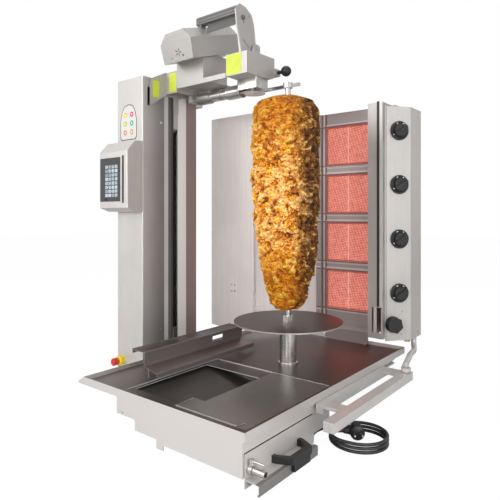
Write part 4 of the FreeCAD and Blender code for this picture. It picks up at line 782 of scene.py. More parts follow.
class Finishes:
    """All finishes of the grill, made once."""

    def __init__(self) -> None:
        """Builds every material."""
        steel = (0.62, 0.59, 0.565)
        # Limits of the housing's inside, which is darkened with painted shade.
        hollow_shade = ((-0.2045, 0.2155), (-0.4635, -0.1255), (0.029, 0.112))
        self.front = Sheet("front sheet", (0.57, 0.54, 0.52), Grain.ACROSS).make()
        self.shell = Sheet("housing sheet", (0.60, 0.57, 0.55), Grain.ACROSS, inside=hollow_shade).make()
        self.tower = Sheet("tower sheet", (0.53, 0.505, 0.485), Grain.UPRIGHT).make()
        # Cabinet: faces turned to the right carry painted shade.
        self.cabinet = Sheet("cabinet sheet", (0.555, 0.53, 0.51), Grain.UPRIGHT,
                             painted_shade=(0.13, 0.135, 0.135)).make()
        self.wall = Sheet("panel sheet", (0.72, 0.665, 0.645), Grain.UPRIGHT, 0.45, 0.12).make()
        self.side = Sheet("shield sheet", (0.40, 0.37, 0.36), Grain.UPRIGHT, 0.36, 0.35).make()
        # Burner surround: the front and gap colours are painted shade, the front one reddened by the burners.
        self.frame = Surround("burner surround", (0.44, 0.42, 0.405), (0.30, 0.245, 0.235),
                              (0.085, 0.020, 0.018)).make()
        self.arm = Sheet("arm sheet", (0.43, 0.41, 0.395), Grain.ACROSS, 0.36).make()
        self.grip = Sheet("grip sheet", (0.14, 0.136, 0.132), Grain.ACROSS, 0.34, 0.3).make()
        # Near-black sheet of the meat chute: painted shade inside the well.
        self.dark = Sheet("shaded sheet", (0.085, 0.078, 0.073), Grain.DEEP, 0.34, 0.8).make()
        self.tube = Sheet("bent tube", (0.55, 0.53, 0.51), Grain.DEEP, 0.34, 0.35).make()
        # Table sheets: the flat colour is a painted reflection, the red colour a painted reflection of the
        # burners.
        self.deck = Deck("table sheet", steel, (0.100, 0.086, 0.081), (0.30, 0.050, 0.036),
                         (0.15, 0.27), 0.33).make()
        self.cover = Deck("cover sheet", steel, (0.215, 0.205, 0.195), (0.25, 0.10, 0.08),
                          (0.11, 0.27), 0.42).make()
        self.trough = Deck("trough sheet", (0.225, 0.195, 0.185), (0.25, 0.205, 0.195), (0.30, 0.10, 0.08),
                           (0.05, 0.10), 0.22, 0.20).make()
        self.disc = Deck("turntable sheet", (0.34, 0.32, 0.31), (0.060, 0.050, 0.047), (0.22, 0.060, 0.050),
                         (0.12, 0.14), 0.15).make()
        self.column = Column("column side", (0.008, 0.008, 0.007), (0.80, 0.785, 0.77),
                             (0.27, 0.180, 0.165)).make()
        self.plaque = Plaque("burner plaque", (0.50, 0.105, 0.075), (0.82, 0.26, 0.20), 0.0052).make()
        self.roast = Roast("roasted meat").make()
        self.black = Moulded("black moulding", (0.006, 0.006, 0.006)).make()
        self.matt = Moulded("matt black moulding", (0.030, 0.029, 0.028), 0.6).make()
        self.rubber = Moulded("cord rubber", (0.010, 0.010, 0.011), 0.42, 1400.0, 0.00008).make()
        self.red = Moulded("red moulding", (0.55, 0.018, 0.014), 0.38).make()
        self.yellow = Moulded("yellow moulding", (0.80, 0.58, 0.02), 0.42).make()
        self.steel = Polished("polished steel", (0.55, 0.53, 0.51)).make()
        self.bright = Polished("bright steel", (0.80, 0.78, 0.76), 0.18).make()
        self.brass = Polished("brass", (0.70, 0.52, 0.25), 0.3).make()
        self.motor = Moulded("motor paint", (0.10, 0.10, 0.105), 0.55).make()
        self.display = Display("panel glass", -0.611, -0.540, 0.632, 0.744).make()
        self.plate = Print("yellow plate", (0.56, 0.64, 0.045), 0.45).make()
        self.badge = Print("pale badge", (0.62, 0.60, 0.58), 0.35).make()
        # Dark print on the badge rim, also used as painted shade in the screw sockets and the shield gap.
        self.ink_and_shade = Print("dark print and painted shade", (0.012, 0.011, 0.010), 0.5).make()
        self.white = Print("white print", (0.80, 0.80, 0.78), 0.5).make()
        rings = ((0.70, 0.55, 0.03), (0.62, 0.04, 0.12), (0.55, 0.50, 0.05), (0.03, 0.38, 0.22),
                 (0.60, 0.22, 0.10), (0.62, 0.30, 0.16))
        self.motifs = [Print(f"badge colour {i}", c, 0.4).make() for i, c in enumerate(rings)]


class Solid:
    """A mesh gathered from simple closed forms, in millimetres."""

    def __init__(self) -> None:
        """Starts an empty mesh."""
        self.mesh = bmesh.new()

    def box(self, x: Range, y: Range, z: Range) -> "Solid":
        """Adds a block.

        Args:
            x: Its limits from left to right.
            y: Its limits from front to back.
            z: Its limits from low to high.

        Returns:
            This mesh.
        """
        size = Vector((x[1] - x[0], y[1] - y[0], z[1] - z[0]))
        centre = Vector((x[0] + x[1], y[0] + y[1], z[0] + z[1])) / 2
        bmesh.ops.create_cube(self.mesh, size=1.0, matrix=Matrix.LocRotScale(centre, None, size))
        return self

    def prism(self, corners: Sequence[Point], along: Point) -> "Solid":
        """Adds a prism.

        Args:
            corners: Outline of one end.
            along: Way from that end to the other.

        Returns:
            This mesh.
        """
        low = [self.mesh.verts.new(Vector(c)) for c in corners]
        high = [self.mesh.verts.new(Vector(c) + Vector(along)) for c in corners]
        self.mesh.faces.new(low)
        self.mesh.faces.new(list(reversed(high)))
        for i in range(len(low)):
            j = (i + 1) % len(low)
            self.mesh.faces.new((low[j], low[i], high[i], high[j]))
        return self

    def lathe(self, outline: Sequence[Range], at: Point, along: Point, sides: int = 32) -> "Solid":
        """Adds a turned form.

        Args:
            outline: Pairs of height along the axis and radius; the ends are closed.
            at: Point on the axis where the height is zero.
            along: Direction of the axis.
            sides: Number of faces round it.

        Returns:
            This mesh.
        """
        turn = Vector(along).to_track_quat("Z", "Y")
        rings = []
        for height, radius in outline:
            ring = []
            for i in range(sides):
                angle = 2 * math.pi * i / sides
                spot = Vector((radius * math.cos(angle), radius * math.sin(angle), height))
                ring.append(self.mesh.verts.new(turn @ spot + Vector(at)))
            rings.append(ring)
        self.mesh.faces.new(list(reversed(rings[0])))
        self.mesh.faces.new(rings[-1])
        for low, high in zip(rings, rings[1:]):
            for i in range(sides):
                j = (i + 1) % sides
                self.mesh.faces.new((low[i], low[j], high[j], high[i]))
        return self

    def finish(self, name: str, material: bpy.types.Material, body: str, slot: str,
               bevel: float = 0.0, smooth: bool = False) -> bpy.types.Object:
        """Makes the piece, in metres, and lets it ride on a body.

        Args:
            name: The piece's name.
            material: Its finish.
            body: The body that it moves with.
            slot: The record's slot of its finish; not used.
            bevel: Width of its rounded edges, in millimetres.
            smooth: Whether its faces are shaded smooth.

        Returns:
            The piece.
        """
        bmesh.ops.recalc_face_normals(self.mesh, faces=self.mesh.faces)
        bmesh.ops.scale(self.mesh, vec=(0.001, 0.001, 0.001), verts=self.mesh.verts)
        data = bpy.data.meshes.new(name)
        self.mesh.to_mesh(data)
        self.mesh.free()
        piece = place(name, data, material, body, slot)
        if smooth:
            data.polygons.foreach_set("use_smooth", [True] * len(data.polygons))
        if bevel:
            edge = piece.modifiers.new("edge", "BEVEL")
            edge.width = bevel / 1000
            edge.segments = 2
            edge.limit_method = "ANGLE"
            edge.angle_limit = math.radians(35)
        return piece


def place(name: str, data: Any, material: bpy.types.Material, body: str, slot: str) -> bpy.types.Object:
    """Puts a mesh or curve in the scene as a piece.

    Args:
        name: The piece's name.
        data: Its mesh or curve.
        material: Its finish.
        body: The body that it moves with.
        slot: The record's slot of its finish; not used.

    Returns:
        The piece.
    """
    piece = bpy.data.objects.new(name, data)
    bpy.context.scene.collection.objects.link(piece)
    data.materials.clear()
    data.materials.append(material)
    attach(piece, body)
    log.info("piece %s on %s", name, body)
    return piece


def dress(material: bpy.types.Material, *nodes: str) -> None:
    """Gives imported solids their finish.

    Args:
        material: The finish.
        nodes: Names of the solids.
    """
    for node in nodes:
        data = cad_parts[node].data
        data.materials.clear()
        data.materials.append(material)
        log.info("dressed %s", node)


class Recipe(Graph):
    """A geometry tree with named inputs, run once on a mesh."""

    def __init__(self, name: str, sizes: dict[str, float]) -> None:
        """Starts the tree.

        Args:
            name: The tree's name.
            sizes: Named sizes with their usual values.
        """
        super().__init__(bpy.data.node_groups.new(name, "GeometryNodeTree"))
        face = self.tree.interface
        face.new_socket("Geometry", in_out="INPUT", socket_type="NodeSocketGeometry")
        self.keys = {}
        for size, value in sizes.items():
            socket = face.new_socket(size, in_out="INPUT", socket_type="NodeSocketFloat")
            socket.default_value = value
            self.keys[size] = socket.identifier
        face.new_socket("Geometry", in_out="OUTPUT", socket_type="NodeSocketGeometry")
        self.start = self.node("NodeGroupInput")
        self.end = self.node("NodeGroupOutput")

    def given(self, name: str) -> Term:
        """One of the tree's named inputs."""
        return Term(self, self.start.outputs[name])

    def close(self, shape: Term, material: bpy.types.Material | None) -> None:
        """Ends the tree.

        Args:
            shape: What it has made.
            material: Finish of all of it, or None where the parts have theirs.
        """
        shape = self.add("GeometryNodeRealizeInstances", None, {0: shape})
        if material is not None:
            shape = self.add("GeometryNodeSetMaterial", None, {"Geometry": shape, "Material": material})
        self.feed(self.end.inputs[0], shape)

    def run(self, name: str, seed_mesh: bpy.types.Mesh, sizes: dict[str, float]) -> bpy.types.Mesh:
        """Runs the tree on a mesh.

        Args:
            name: Name of the mesh that it makes.
            seed_mesh: Mesh that goes in.
            sizes: Values of the named inputs.

        Returns:
            The plain mesh that comes out.
        """
        carrier = bpy.data.objects.new(name, seed_mesh)
        bpy.context.scene.collection.objects.link(carrier)
        step = carrier.modifiers.new("recipe", "NODES")
        step.node_group = self.tree
        for size, value in sizes.items():
            step[self.keys[size]] = value
        bpy.context.view_layer.update()
        graph = bpy.context.evaluated_depsgraph_get()
        made = bpy.data.meshes.new_from_object(carrier.evaluated_get(graph), depsgraph=graph)
        carrier.modifiers.clear()
        bpy.data.objects.remove(carrier)
        made.name = name
        return made


@dataclass
class Studio:
    """Floor, backdrop, lamps and camera."""

    eye: Point = (0.872, -1.280, 0.575)
    heading: float = 38.6
    lens: float = 36.1
    drop: float = -0.072

    def build(self) -> None:
        """Builds the whole studio."""
        self._camera()
        self._world()
        self._floor()
        self._lamps()
        bpy.context.scene.view_settings.view_transform = "Standard"

    def _camera(self) -> None:
        """Puts the camera at the photograph's place."""
        data = bpy.data.cameras.new("camera")
        data.lens = self.lens
        data.sensor_width = 36.0
        data.shift_y = self.drop
        data.clip_end = 60.0
        camera = bpy.data.objects.new("camera", data)
        camera.location = self.eye
        camera.rotation_euler = (math.pi / 2, 0.0, math.radians(self.heading))
        bpy.context.scene.collection.objects.link(camera)
        bpy.context.scene.camera = camera

    def _world(self) -> None:
        """White where it is seen or mirrored, softer as a light."""
        world = bpy.data.worlds.new("studio")
        world.use_nodes = True
        bpy.context.scene.world = world
        graph = Graph(world.node_tree)
        graph.tree.nodes.clear()
        ray = graph.node("ShaderNodeLightPath")
        seen = Term(graph, ray.outputs["Is Camera Ray"]).most(Term(graph, ray.outputs["Is Transmission Ray"]))
        mirrored = Term(graph, ray.outputs["Is Glossy Ray"])
        strength = seen.most(mirrored * 0.75) * 0.64 + 0.36
        back = graph.add("ShaderNodeBackground", None, {"Color": WHITE, "Strength": strength})
        end = graph.node("ShaderNodeOutputWorld")
        graph.feed(end.inputs["Surface"], back)

    def _floor(self) -> None:
        """Pale floor that keeps the grill's shadow."""
        shape = bmesh.new()
        bmesh.ops.create_grid(shape, x_segments=1, y_segments=1, size=12.0)
        data = bpy.data.meshes.new("floor")
        shape.to_mesh(data)
        shape.free()
        floor = bpy.data.objects.new("floor", data)
        bpy.context.scene.collection.objects.link(floor)
        paint = Paint("floor")
        paint.set(Base_Color=(0.86, 0.86, 0.86), Roughness=0.9)
        ray = paint.node("ShaderNodeLightPath")
        white = paint.add("ShaderNodeEmission", None, {"Color": WHITE, "Strength": 1.06})
        share = Term(paint, ray.outputs["Is Camera Ray"]) * 0.90
        lit = Term(paint, paint.surface.outputs[0])
        both = paint.add("ShaderNodeMixShader", None, {0: share, 1: lit, 2: white})
        end = next(n for n in paint.tree.nodes if n.type == "OUTPUT_MATERIAL")
        paint.feed(end.inputs[0], both)
        data.materials.append(paint.material)

    def _lamps(self) -> None:
        """Large soft key from the front left, fills from the right and the front, and one from above."""
        self._lamp("key", (-1.3, -2.4, 1.5), (-0.1, 0.0, 0.5), 1.6, 35.0)
        self._lamp("fill", (2.6, -0.4, 1.1), (0.0, 0.0, 0.5), 1.6, 9.0)
        self._lamp("low fill", (1.45, -0.95, 0.40), (0.22, -0.30, 0.05), 0.7, 9.0)
        self._lamp("wall fill", (0.45, -1.9, 1.0), (-0.34, 0.25, 0.55), 0.9, 3.6, 70.0)
        self._lamp("top", (0.1, -0.2, 2.7), (0.0, 0.0, 0.2), 1.4, 14.0)

    def _lamp(self, name: str, at: Point, toward: Point, size: float, power: float,
              spread: float = 180.0) -> None:
        """Adds one area lamp.

        Args:
            name: The lamp's name.
            at: Where it stands.
            toward: The point that it faces.
            size: Its side in metres.
            power: Its power in watts.
            spread: Angle of its beam in degrees.
        """
        data = bpy.data.lights.new(name, "AREA")
        data.size = size
        data.energy = power
        data.spread = math.radians(spread)
        lamp = bpy.data.objects.new(name, data)
        lamp.location = at
        lamp.rotation_euler = (Vector(toward) - Vector(at)).to_track_quat("-Z", "Y").to_euler()
        bpy.context.scene.collection.objects.link(lamp)


@dataclass
class MainsCord:
    """Cord from the gland under the base to the plug that lies in its coil."""

    thick: float = 8.0
    centre: Range = (300.0, -127.0)
    radius: float = 71.0
    outward: float = 1.012
    pitch: float = 9.4
    first: float = 112.0
    turning: float = 922.0
    lift: float = 5.0
    turn_points: int = 39
    length: float = 1.40
    plug: Point = (285.0, -107.0, 19.5)
    facing: Point = (0.6, -0.8, 0.0)
    side: Point = (0.8, 0.6, 0.0)
    neck: float = 34.0

    def coil_point(self, turned: float) -> Vector:
        """Control point of the coil, a little outside the line that it draws.

        Args:
            turned: Degrees round the coil from its start.

        Returns:
            The point, in millimetres.
        """
        at = math.radians(self.first - turned)
        grown = self.outward * self.radius
        return Vector((self.centre[0] + grown * math.cos(at), self.centre[1] + grown * math.sin(at),
                       self.lift + turned * self.pitch / 360.0))

    def route(self) -> list[Vector]:
        """Points that the cord's curve is drawn by, in millimetres.

        Returns:
            The points from the gland to the plug.
        """
        start = self.coil_point(0.0)
        leaving = (self.coil_point(2.0) - start).normalized()
        last = self.coil_point(self.turning)
        going = (last - self.coil_point(self.turning - 2.0)).normalized()
        side = Vector(self.side)
        boss = Vector(self.plug) - side * self.neck
        lead = [Vector(at) for at in ((192, -170, 10), (192, -133, 10), (206, -96, 5.4))]
        lead.append(start - leaving * 36.0)
        coil = [self.coil_point(self.turning * i / self.turn_points) for i in range(self.turn_points + 1)]
        tail = [Vector(at) for at in ((264, -193, 30), (251, -180.5, 30.6), (243.5, -162, 30.5))]
        return [*lead, *coil, last + going * 18.0, *tail, boss - side * 22.0, boss]

    def build(self, finishes: Finishes) -> None:
        """Builds the cord, its strain relief and its plug.

        Args:
            finishes: The grill's finishes.
        """
        data = bpy.data.curves.new("mains_cord", "CURVE")
        data.dimensions = "3D"
        line = data.splines.new("NURBS")
        route = self.route()
        line.points.add(len(route) - 1)
        for spot, where in zip(line.points, route):
            spot.co = (*(where / 1000), 1.0)
        line.order_u = 3
        line.use_endpoint_u = True
        data.resolution_u = 6
        data.bevel_depth = self.thick / 2000
        data.bevel_resolution = 4
        data.use_fill_caps = True
        cord = place("mains_cord", data, finishes.rubber, "base", "black_rubber")
        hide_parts("cord_lead", "cord_coil", "cord_tail")
        body, prongs = self._plug(finishes)
        relief = Solid()
        relief.lathe([(0, 7.4), (3, 7.6), (4, 6.8), (9, 6.6), (10, 6.0), (15, 5.9), (16, 5.4), (22, 5.2),
                      (23, 4.9), (31, 4.6)], (192, -184, 10), (0, 1, 0), 24)
        relief.finish("cord_relief", finishes.rubber, "base", "black_rubber", smooth=True)
        dress(finishes.black, "cord_gland")

    def _plug(self, finishes: Finishes) -> tuple[bpy.types.Object, bpy.types.Object]:
        """Builds the round plug with its ribbed neck and two prongs.

        Args:
            finishes: The grill's finishes.

        Returns:
            The plug's body and its prongs.
        """
        facing = Vector(self.facing)
        side = Vector(self.side)
        centre = Vector(self.plug)
        shape = Solid()
        shape.lathe([(-14, 13), (-13, 16), (-10, 18.2), (-6, 18.9), (4, 19), (5, 18.2), (7, 18.2), (8, 19),
                     (12.5, 18.6), (14, 17)], centre, facing, 40)
        neck = [(0, 5.2)]
        for i in range(5):
            neck += [(2 + 4 * i, 6.0 + 0.9 * i), (4 + 4 * i, 6.2 + 0.9 * i), (4.6 + 4 * i, 5.2 + 0.9 * i)]
        shape.lathe(neck + [(24, 9.5)], centre - side * self.neck, side, 24)
        body = shape.finish("plug_body", finishes.black, "base", "black_rubber", smooth=True)
        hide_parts("mains_plug")
        pins = Solid()
        for offset in (-9.5, 9.5):
            root = centre + facing * 12 + side * offset
            pins.lathe([(0, 2.4), (19.5, 2.4), (20.6, 1.9), (21, 1.2)], root, facing, 20)
        return body, pins.finish("plug_prongs", finishes.bright, "base", "polished_steel", smooth=True)


@dataclass
class MeatCone:
    """Roasted meat on the spit, built up of overlapping slices."""

    outline: tuple[Range, ...] = ((35, 286), (52, 301), (62, 341), (81, 409), (92, 495), (102, 649),
                                  (102, 833), (100, 893), (84, 918), (48, 932))
    around: int = 348
    rows: int = 262
    bore: float = 8.0
    slice_height: float = 0.0150
    slice_lift: float = 0.0120
    crust: float = 0.0050
    seed: float = 4.0
    lean: float = 0.007

    def build(self, finishes: Finishes) -> None:
        """Builds the meat, which stands for its plain solid.

        Args:
            finishes: The grill's finishes.
        """
        sizes = {"Slice height": self.slice_height, "Slice lift": self.slice_lift, "Crust": self.crust,
                 "Seed": self.seed, "Lean": self.lean}
        data = self._recipe(finishes.roast, sizes).run("meat_slices", self._core(), sizes)
        data.polygons.foreach_set("use_smooth", [True] * len(data.polygons))
        piece = place("meat_slices", data, finishes.roast, "spit", "meat")
        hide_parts("doner_meat")

    def _radius(self, share: float) -> tuple[float, float]:
        """Radius and height of the plain cone.

        Args:
            share: Share of its outline, from the lower end.

        Returns:
            The radius and the height, in millimetres.
        """
        lengths = [math.dist(a, b) for a, b in zip(self.outline, self.outline[1:])]
        run = share * sum(lengths)
        for (r0, z0), (r1, z1), length in zip(self.outline, self.outline[1:], lengths):
            if run <= length or (r1, z1) == self.outline[-1]:
                t = min(1.0, run / length)
                return r0 + (r1 - r0) * t, z0 + (z1 - z0) * t
            run -= length
        return self.outline[-1]

    def _core(self) -> bpy.types.Mesh:
        """Builds the plain closed cone that the slices grow on.

        Returns:
            Its mesh, in metres.
        """
        rings = [(self.bore, self.outline[0][1]), (20.0, self.outline[0][1] - 1)]
        rings += [self._radius(i / (self.rows - 1)) for i in range(self.rows)]
        rings += [(26.0, self.outline[-1][1] + 3), (self.bore, self.outline[-1][1] + 4)]
        shape = bmesh.new()
        made = []
        for radius, height in rings:
            ring = []
            for i in range(self.around):
                angle = 2 * math.pi * i / self.around
                ring.append(shape.verts.new((radius * math.cos(angle) / 1000, radius * math.sin(angle) / 1000,
                                             height / 1000)))
            made.append(ring)
        shape.faces.new(list(reversed(made[0])))
        shape.faces.new(made[-1])
        for low, high in zip(made, made[1:]):
            for i in range(self.around):
                j = (i + 1) % self.around
                shape.faces.new((low[i], low[j], high[j], high[i]))
        data = bpy.data.meshes.new("meat_core")
        shape.to_mesh(data)
        shape.free()
        return data

    def _warp(self, tree: Recipe, where: Term, scale: float, reach: Point) -> Term:
        """Shifts coordinates by a cloudy pattern.

        Args:
            tree: The tree that is built.
            where: The coordinates.
            scale: Waves in a metre.
            reach: Greatest shift along each direction.

        Returns:
            The shifted coordinates.
        """
        inputs = {"Vector": where, "Scale": scale, "Detail": 3.0}
        cloud = tree.add("ShaderNodeTexNoise", {"normalize": True}, inputs, "Color")
        return tree.vector("MULTIPLY_ADD", cloud, reach, where)

    def _flakes(self, tree: Recipe, where: Term, scale: Term) -> Term:
        """Makes flakes that each lean their own way.

        Args:
            tree: The tree that is built.
            where: The coordinates.
            scale: Flakes in a metre.

        Returns:
            A height from about zero to one.
        """
        cells = tree.cells(where, scale)
        chance = Term(tree, cells.outputs["Color"])
        lean = tree.vector("MULTIPLY_ADD", chance, (2.4, 2.4, 1.2), (-1.2, -1.2, 0.1))
        apart = tree.vector("SUBTRACT", where, Term(tree, cells.outputs["Position"]))
        tilt = tree.add("ShaderNodeVectorMath", {"operation": "DOT_PRODUCT"}, {0: lean, 1: apart}, "Value")
        crease = tree.edges(where, scale).ease(0.0, 0.10)
        blue = tree.add("FunctionNodeSeparateColor", None, {0: chance}, 2)
        base = blue * 0.6 + tilt * scale * 0.55 + 0.2
        return base * (crease * 0.75 + 0.25)

    def _recipe(self, material: bpy.types.Material, sizes: dict[str, float]) -> Recipe:
        """Builds the tree that lifts shingled slices and crust out of the cone.

        Args:
            material: Finish of the slices.
            sizes: The tree's named sizes.

        Returns:
            The tree.
        """
        tree = Recipe("shingled slices", sizes)
        where = tree.add("GeometryNodeInputPosition")
        split = tree.node("ShaderNodeSeparateXYZ", None, {0: where})
        x, y, z = (Term(tree, s) for s in split.outputs)
        ring = (x.power(2.0) + y.power(2.0)).power(0.5)
        turned = tree.joined(x * 0.68, y * 0.68, z)
        near = self._warp(tree, turned, 26.0, (0.026, 0.026, 0.022))
        near = self._warp(tree, near, 120.0, (0.009, 0.009, 0.009))
        moved = tree.vector("ADD", near, tree.given("Seed"))
        slices = self._flakes(tree, moved, tree.given("Slice height").power(-1.0))
        shreds = self._flakes(tree, near, tree.given("Slice height").power(-1.0) * 2.3)
        fine = tree.noise(where, 120.0, 5.0, 0.72, 0.8)
        broad = tree.noise(where, 17.0, 2.0, 0.5)
        lift = slices * 0.62 + shreds * 0.38
        out = lift * tree.given("Slice lift") + (fine - 0.5) * tree.given("Crust")
        out = (out + (broad - 0.5) * 0.022 - 0.0050) * ring.ease(0.010, 0.034)
        sag = tree.vector("ADD", tree.vector("NORMALIZE", tree.joined(x, y)), (0.0, 0.0, -0.25))
        step = tree.add("ShaderNodeVectorMath", {"operation": "SCALE"}, {0: sag, "Scale": out})
        kept = lift + (fine - 0.5) * 0.5
        shape = tree.add("GeometryNodeStoreNamedAttribute", {"data_type": "FLOAT", "domain": "POINT"},
                         {"Geometry": tree.given("Geometry"), "Name": "lift", "Value": kept})
        shape = tree.add("GeometryNodeStoreNamedAttribute", {"data_type": "FLOAT_VECTOR", "domain": "POINT"},
                         {"Geometry": shape, "Name": "slices", "Value": moved})
        aside = (z - 0.33).ease(0.0, 0.45) * ring.ease(0.012, 0.060) * tree.given("Lean")
        offset = tree.vector("ADD", step, tree.joined(aside * -0.78, aside * -0.62))
        shape = tree.add("GeometryNodeSetPosition", None, {"Geometry": shape, "Offset": offset})
        tree.close(shape, material)
        return tree


@dataclass
class Fasteners:
    """Pan-head screws, set by points and directions.

    The crown and the socket are given as shares of the radius and of the height.
    """

    radius: float = 4.0
    height: float = 1.6
    crown: tuple[float, float] = (0.80, 1.35)
    socket: tuple[float, float] = (0.42, 1.40)

    def build(self, finishes: Finishes, name: str, body: str, spots: Sequence[tuple[Point, Point]],
              scale: float = 1.0) -> None:
        """Builds one body's screws.

        Args:
            finishes: The grill's finishes.
            name: Name of the piece.
            body: The body that they ride on.
            spots: Places in millimetres, with the way each faces.
            scale: Size against the usual screw.
        """
        seed = bpy.data.meshes.new(name + "_spots")
        seed.from_pydata([tuple(c / 1000 for c in at) for at, _ in spots], [], [])
        facing = seed.attributes.new("facing", "FLOAT_VECTOR", "POINT")
        facing.data.foreach_set("vector", [c for _, way in spots for c in Vector(way).normalized()])
        sizes = {"Radius": self.radius * scale / 1000, "Height": self.height * scale / 1000}
        tree = Recipe(name + " screws", sizes)
        way = tree.add("GeometryNodeInputNamedAttribute", {"data_type": "FLOAT_VECTOR"}, {"Name": "facing"})
        turn = tree.add("FunctionNodeAlignRotationToVector", {"axis": "Z"}, {"Vector": way})
        # The socket is a dark drum standing just proud of the crown: painted shade of the hex recess.
        drums = ((1.0, 1.0, 20, finishes.bright), (*self.crown, 20, finishes.bright),
                 (*self.socket, 6, finishes.ink_and_shade))
        parts = []
        for wide, high, sides, material in drums:
            inputs = {"Vertices": sides, "Radius": tree.given("Radius") * wide,
                      "Depth": tree.given("Height") * high}
            drum = tree.add("GeometryNodeMeshCylinder", {"fill_type": "NGON"}, inputs)
            lifted = tree.joined(0.0, 0.0, tree.given("Height") * (high / 2))
            drum = tree.add("GeometryNodeTransform", None, {"Geometry": drum, "Translation": lifted})
            parts.append(tree.add("GeometryNodeSetMaterial", None, {"Geometry": drum, "Material": material}))
        join = tree.node("GeometryNodeJoinGeometry")
        for part in parts:
            tree.feed(join.inputs[0], part)
        inputs = {"Points": tree.given("Geometry"), "Instance": Term(tree, join.outputs[0]), "Rotation": turn}
        heads = tree.add("GeometryNodeInstanceOnPoints", None, inputs)
        tree.close(heads, None)
        piece = bpy.data.objects.new(name, tree.run(name, seed, sizes))
        bpy.context.scene.collection.objects.link(piece)
        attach(piece, body)
        log.info("piece %s on %s", name, body)


@dataclass
class ControlTower:
    """Tower with its panel, badge, strip and stop button."""

    front: float = -164.0
    badge: Range = (-567.5, 898.0)
    badge_corners: tuple[Range, ...] = ((-607, 836), (-528, 836), (-522, 846), (-522, 905), (-531, 938),
                                        (-545, 957), (-567, 962), (-589, 957), (-604, 938), (-613, 905),
                                        (-613, 846))
    face_share: Range = (0.94, 0.955)
    first_disc: Range = (-585.0, 925.0)
    disc_steps: Range = (36.0, 31.0)
    disc_radius: float = 9.5
    mark_reach: float = 4.6

    def build(self, finishes: Finishes) -> None:
        """Dresses the tower and adds what is fixed to it.

        Args:
            finishes: The grill's finishes.
        """
        # The cabinet sheet paints shade on the tower's right faces.
        dress(finishes.cabinet, "tower_cabinet", "hmi_box")
        dress(finishes.display, "touch_screen")
        dress(finishes.matt, "hmi_button")
        dress(finishes.yellow, "estop_collar")
        dress(finishes.red, "estop_button")
        dress(finishes.column, "column_housing")
        dress(finishes.steel, "lift_rail", "lift_screw")
        dress(finishes.motor, "lift_motor")
        self._badge(finishes)
        strip = Solid().box((-518.6, -508.4), (-229.3, -228.2), (612.5, 772.5))
        strip.finish("grip_strip", finishes.matt, "base", "black_plastic", 0.3)

    def _badge(self, finishes: Finishes) -> None:
        """Builds a pale plate with six plain coloured discs, each with a three-cornered mark.

        Args:
            finishes: The grill's finishes.
        """
        y = self.front
        rim = Solid().prism([(x, y - 0.35, z) for x, z in self.badge_corners], (0, 0.35, 0))
        rim.finish("badge_rim", finishes.ink_and_shade, "base", "grey_plastic")
        cx, cz = self.badge
        across, up = self.face_share
        face = [(cx + (x - cx) * across, y - 0.6, cz + (z - cz) * up) for x, z in self.badge_corners]
        Solid().prism(face, (0, 0.3, 0)).finish("badge_face", finishes.badge, "base", "light_steel")
        for i, material in enumerate(finishes.motifs):
            x = self.first_disc[0] + self.disc_steps[0] * (i % 2)
            z = self.first_disc[1] - self.disc_steps[1] * (i // 2)
            rings = [(0, self.disc_radius), (0.35, self.disc_radius)]
            disc = Solid().lathe(rings, (x, y - 0.6, z), (0, -1, 0), 28)
            disc.finish(f"badge_disc_{i + 1}", material, "base", "grey_plastic")
            tips = []
            for third in range(3):
                angle = math.radians(30 * i) + third * math.pi * 2 / 3
                aside = self.mark_reach * math.cos(angle)
                above = self.mark_reach * math.sin(angle)
                tips.append((x + aside, y - 1.2, z + above))
            mark = Solid().prism(tips, (0, 0.3, 0))
            mark.finish(f"badge_mark_{i + 1}", finishes.white, "base", "grey_plastic")


@dataclass
class ArmAndHead:
    """Carriage, arm, cutter drive and tilting head."""

    def build(self, finishes: Finishes) -> None:
        """Dresses the arm and the head, and adds the bar's cap, the hub and the bare plates.

        Args:
            finishes: The grill's finishes.
        """
        dress(finishes.arm, "carriage_spine", "arm_frame", "arm_end_block", "head_cover", "head_side_plate")
        dress(finishes.grip, "handle_bar")
        dress(finishes.steel, "cutter_drive")
        cap = Solid().box((-328.0, -323.6), (-69.0, -43.0), (1210.0, 1236.0))
        cap.finish("bar_cap", finishes.black, "head", "black_plastic", 2.5)
        hub = Solid().lathe([(0, 8.5), (2.2, 8.0), (2.6, 6.0), (5.5, 5.6), (6.0, 5.0)],
                            (-148.1, -39.0, 1205.0), (1, 0, 0), 24)
        hub.finish("side_hub", finishes.motor, "head", "black_plastic", smooth=True)
        dress(finishes.steel, "depth_adjuster", "blade_disc")
        dress(finishes.black, "ball_knob")
        plates = {
            "plate_cheek": ("carriage", (-485.6, -484.9), (-123.0, -95.0), (984.0, 1044.0)),
            "plate_spine": ("carriage", (-470.0, -433.0), (-62.7, -61.9), (1010.0, 1074.0)),
            "plate_block": ("carriage", (-200.5, -138.0), (-59.7, -58.9), (1023.0, 1087.0)),
        }
        for name, (body, x, y, z) in plates.items():
            Solid().box(x, y, z).finish(name, finishes.plate, body, "yellow_plastic", 0.2)


